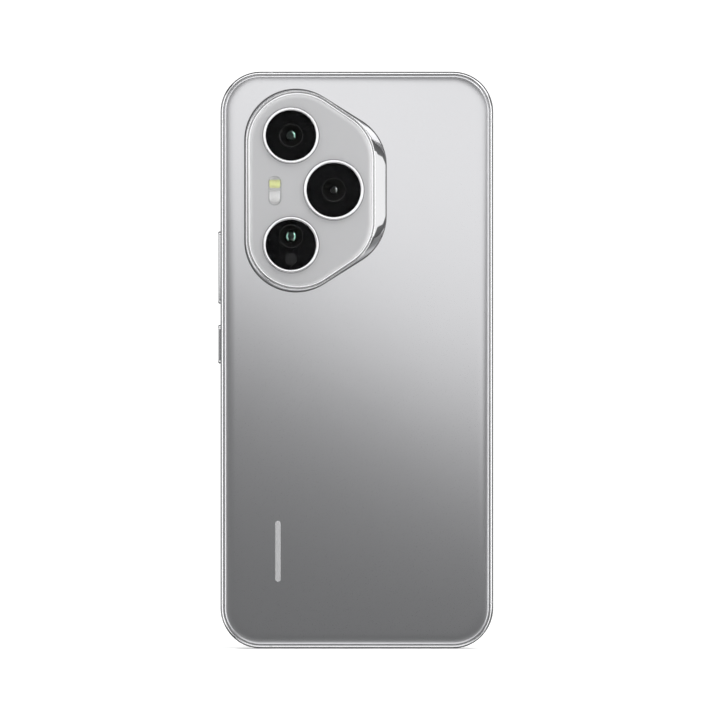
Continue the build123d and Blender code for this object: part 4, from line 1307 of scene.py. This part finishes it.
class PHONE_OT_stage(bpy.types.Operator):
    """Set the pale floor, the soft studio lights and the camera"""

    bl_idname = "phone.stage"
    bl_label = "Stage"

    def execute(self, context):
        settings = context.scene.stage_settings
        self.floor(settings)
        self.surround(context, settings)
        self.lights(settings)
        self.camera(context, settings)
        return {"FINISHED"}

    def floor(self, settings):
        """A round pale floor just under the phone."""
        shape = bmesh.new()
        bmesh.ops.create_circle(shape, cap_ends=True, segments=96, radius=settings.floor_radius)
        data = bpy.data.meshes.new("floor")
        shape.to_mesh(data)
        shape.free()
        floor = bpy.data.objects.new("floor", data)
        bpy.context.scene.collection.objects.link(floor)
        surface = Surface("Pale floor", Roughness=0.8, Base_Color=(0.96, 0.96, 0.96))
        data.materials.append(surface.material)
        floor.location.z = -0.1 * MM
        floor.visible_glossy = False

    def surround(self, context, settings):
        """White behind the phone, and dim surroundings elsewhere, dimmer towards the back."""
        backdrop = 1.2
        horizon = 0.2
        rear_share = 0.35
        world = bpy.data.worlds.new("Studio")
        context.scene.world = world
        world.use_nodes = True
        nodes = world.node_tree.nodes
        links = world.node_tree.links
        nodes.clear()
        white = nodes.new("ShaderNodeBackground")
        white.inputs["Color"].default_value = (1, 1, 1, 1)
        white.inputs["Strength"].default_value = backdrop
        dim = nodes.new("ShaderNodeBackground")
        dim.inputs["Color"].default_value = (0.98, 0.99, 1, 1)
        direction = nodes.new("ShaderNodeTexCoord")
        axes = nodes.new("ShaderNodeSeparateXYZ")
        fade = nodes.new("ShaderNodeMapRange")
        fade.inputs["From Min"].default_value = -horizon
        fade.inputs["From Max"].default_value = horizon
        fade.inputs["To Min"].default_value = settings.surround
        fade.inputs["To Max"].default_value = settings.surround * rear_share
        links.new(direction.outputs["Generated"], axes.inputs[0])
        links.new(axes.outputs["Y"], fade.inputs["Value"])
        links.new(fade.outputs[0], dim.inputs["Strength"])
        path = nodes.new("ShaderNodeLightPath")
        mix = nodes.new("ShaderNodeMixShader")
        out = nodes.new("ShaderNodeOutputWorld")
        links.new(path.outputs["Is Camera Ray"], mix.inputs[0])
        links.new(dim.outputs[0], mix.inputs[1])
        links.new(white.outputs[0], mix.inputs[2])
        links.new(mix.outputs[0], out.inputs[0])

    def panel(self, name, corner, across, up, width, height, radiance):
        """A soft panel from one corner, spanned by two directions, facing across × up."""
        across = Vector(across).normalized()
        up = Vector(up).normalized()
        normal = across.cross(up)
        centre = Vector(corner) + across * width / 2 + up * height / 2
        light = bpy.data.lights.new(name, "AREA")
        light.shape = "RECTANGLE"
        light.size = width
        light.size_y = height
        light.energy = radiance * math.pi * width * height
        lamp = bpy.data.objects.new(name, light)
        turn = Matrix((across, up, normal)).transposed().to_4x4()
        lamp.matrix_world = Matrix.Translation(centre) @ turn
        lamp.visible_camera = False
        bpy.context.scene.collection.objects.link(lamp)
        return lamp

    def lights(self, settings):
        """Panels that the glass and metal mirror, three lights aimed at the phone, and a fill."""
        lean = math.radians(-27)
        along = Vector((math.cos(lean), 0, math.sin(lean)))
        rising = Vector((-math.sin(lean), 0, math.cos(lean)))
        corner = Vector((-0.006, -0.26, 0.083)) - along * 0.14
        right, left, back, front, up = (1, 0, 0), (-1, 0, 0), (0, 1, 0), (0, -1, 0), (0, 0, 1)

        # Each panel's first corner, the directions of its width and height, its width, its height
        # and its radiance
        panels = {
            "front_panel": (corner, along, rising, 0.232, 0.155, settings.front_panel),
            "top_panel": ((-0.75, -0.62, 0.9), right, back, 2.35, 0.52, 1.45),
            "right_panel": ((0.5, -0.38, -0.04), back, up, 0.3, 0.28, 0.78),
            "left_panel": ((-0.5, -0.08, -0.23), front, up, 0.3, 0.64, 0.85),
            "under_panel": ((-0.6, -0.1, -0.74), right, front, 1.7, 0.52, 0.9),
            "rear_panel": ((0.3, 0.7, -0.15), left, up, 0.6, 0.6, 0.7),
            "lower_panel": ((-0.7, -1.2, -1.5), right, up, 1.3, 0.86, 0.8),
            "right_rear_panel": ((1.1, 0.25, -0.7), (-0.5, 0.7, 0), up, 1.0, 1.3, 0.25),
            "left_rear_panel": ((-0.6, 0.95, -0.7), (-0.5, -0.7, 0), up, 1.0, 1.3, 0.25),
        }
        for name, values in panels.items():
            self.panel(name, *values)
        key = self.strip("key", azimuth=50, elevation=32, radiance=9.0, width=0.35, height=0.35)
        self.strip("right_strip", azimuth=47, elevation=8, radiance=settings.right_strip)
        self.strip("left_strip", azimuth=-47, elevation=2, radiance=settings.left_strip)
        fill = self.panel("floor_fill", (-1.2, -1.2, 1.2), right, back, 2.4, 2.4, 1.9)
        for lamp in (key, fill):
            lamp.visible_glossy = False

    def strip(self, name, azimuth, elevation, radiance, width=0.5, height=1.9):
        """A soft light aimed at the phone from its back's side, tall unless sized otherwise.
        Azimuth and elevation are in degrees."""
        turn = math.radians(azimuth)
        rise = math.radians(elevation)
        away = Vector((math.sin(turn) * math.cos(rise), -math.cos(turn) * math.cos(rise),
                       math.sin(rise)))
        across = Vector((0, 0, 1)).cross(away).normalized()
        up = away.cross(across)
        distance = 1.2
        corner = at(0, 0, MIDDLE_Z) + away * distance - across * width / 2 - up * height / 2
        return self.panel(name, corner, across, up, width, height, radiance)

    def camera(self, context, settings):
        """A camera straight before the phone's back."""
        camera = bpy.data.cameras.new("camera")
        camera.sensor_width = 36.0
        camera.lens = camera.sensor_width * settings.distance / settings.view_width
        camera.clip_end = 100.0
        eye = bpy.data.objects.new("camera", camera)
        eye.location = (settings.offset, -settings.distance, MIDDLE_Z * MM)
        eye.rotation_euler = (math.pi / 2, 0, 0)
        context.scene.collection.objects.link(eye)
        context.scene.camera = eye
        context.scene.view_settings.view_transform = "Standard"


class PHONE_PT_panel(bpy.types.Panel):
    """Lists the operators that build the phone."""

    bl_label = "Smartphone"
    bl_idname = "PHONE_PT_panel"
    bl_space_type = "VIEW_3D"
    bl_region_type = "UI"
    bl_category = "Smartphone"

    def draw(self, context):
        for step in OPERATORS:
            self.layout.operator(step.bl_idname)


OPERATORS = (PHONE_OT_stage, PHONE_OT_finishes, PHONE_OT_rear_glass, PHONE_OT_plain_bar,
             PHONE_OT_island, PHONE_OT_lenses, PHONE_OT_flash, PHONE_OT_display, PHONE_OT_openings)
GROUPS = {"phone_sizes": PhoneSizes, "island_sizes": IslandSizes, "lens_sizes": LensSizes,
          "finishes": Finishes, "stage_settings": StageSettings}


def register():
    for cls in (*GROUPS.values(), *OPERATORS, PHONE_PT_panel):
        bpy.utils.register_class(cls)
    for name, group in GROUPS.items():
        setattr(bpy.types.Scene, name, PointerProperty(type=group))


def unregister():
    for name in GROUPS:
        delattr(bpy.types.Scene, name)
    for cls in reversed((*GROUPS.values(), *OPERATORS, PHONE_PT_panel)):
        bpy.utils.unregister_class(cls)


def main():
    register()
    for step in OPERATORS:
        category, name = step.bl_idname.split(".")
        getattr(getattr(bpy.ops, category), name)()


if __name__ == "__main__":
    main()
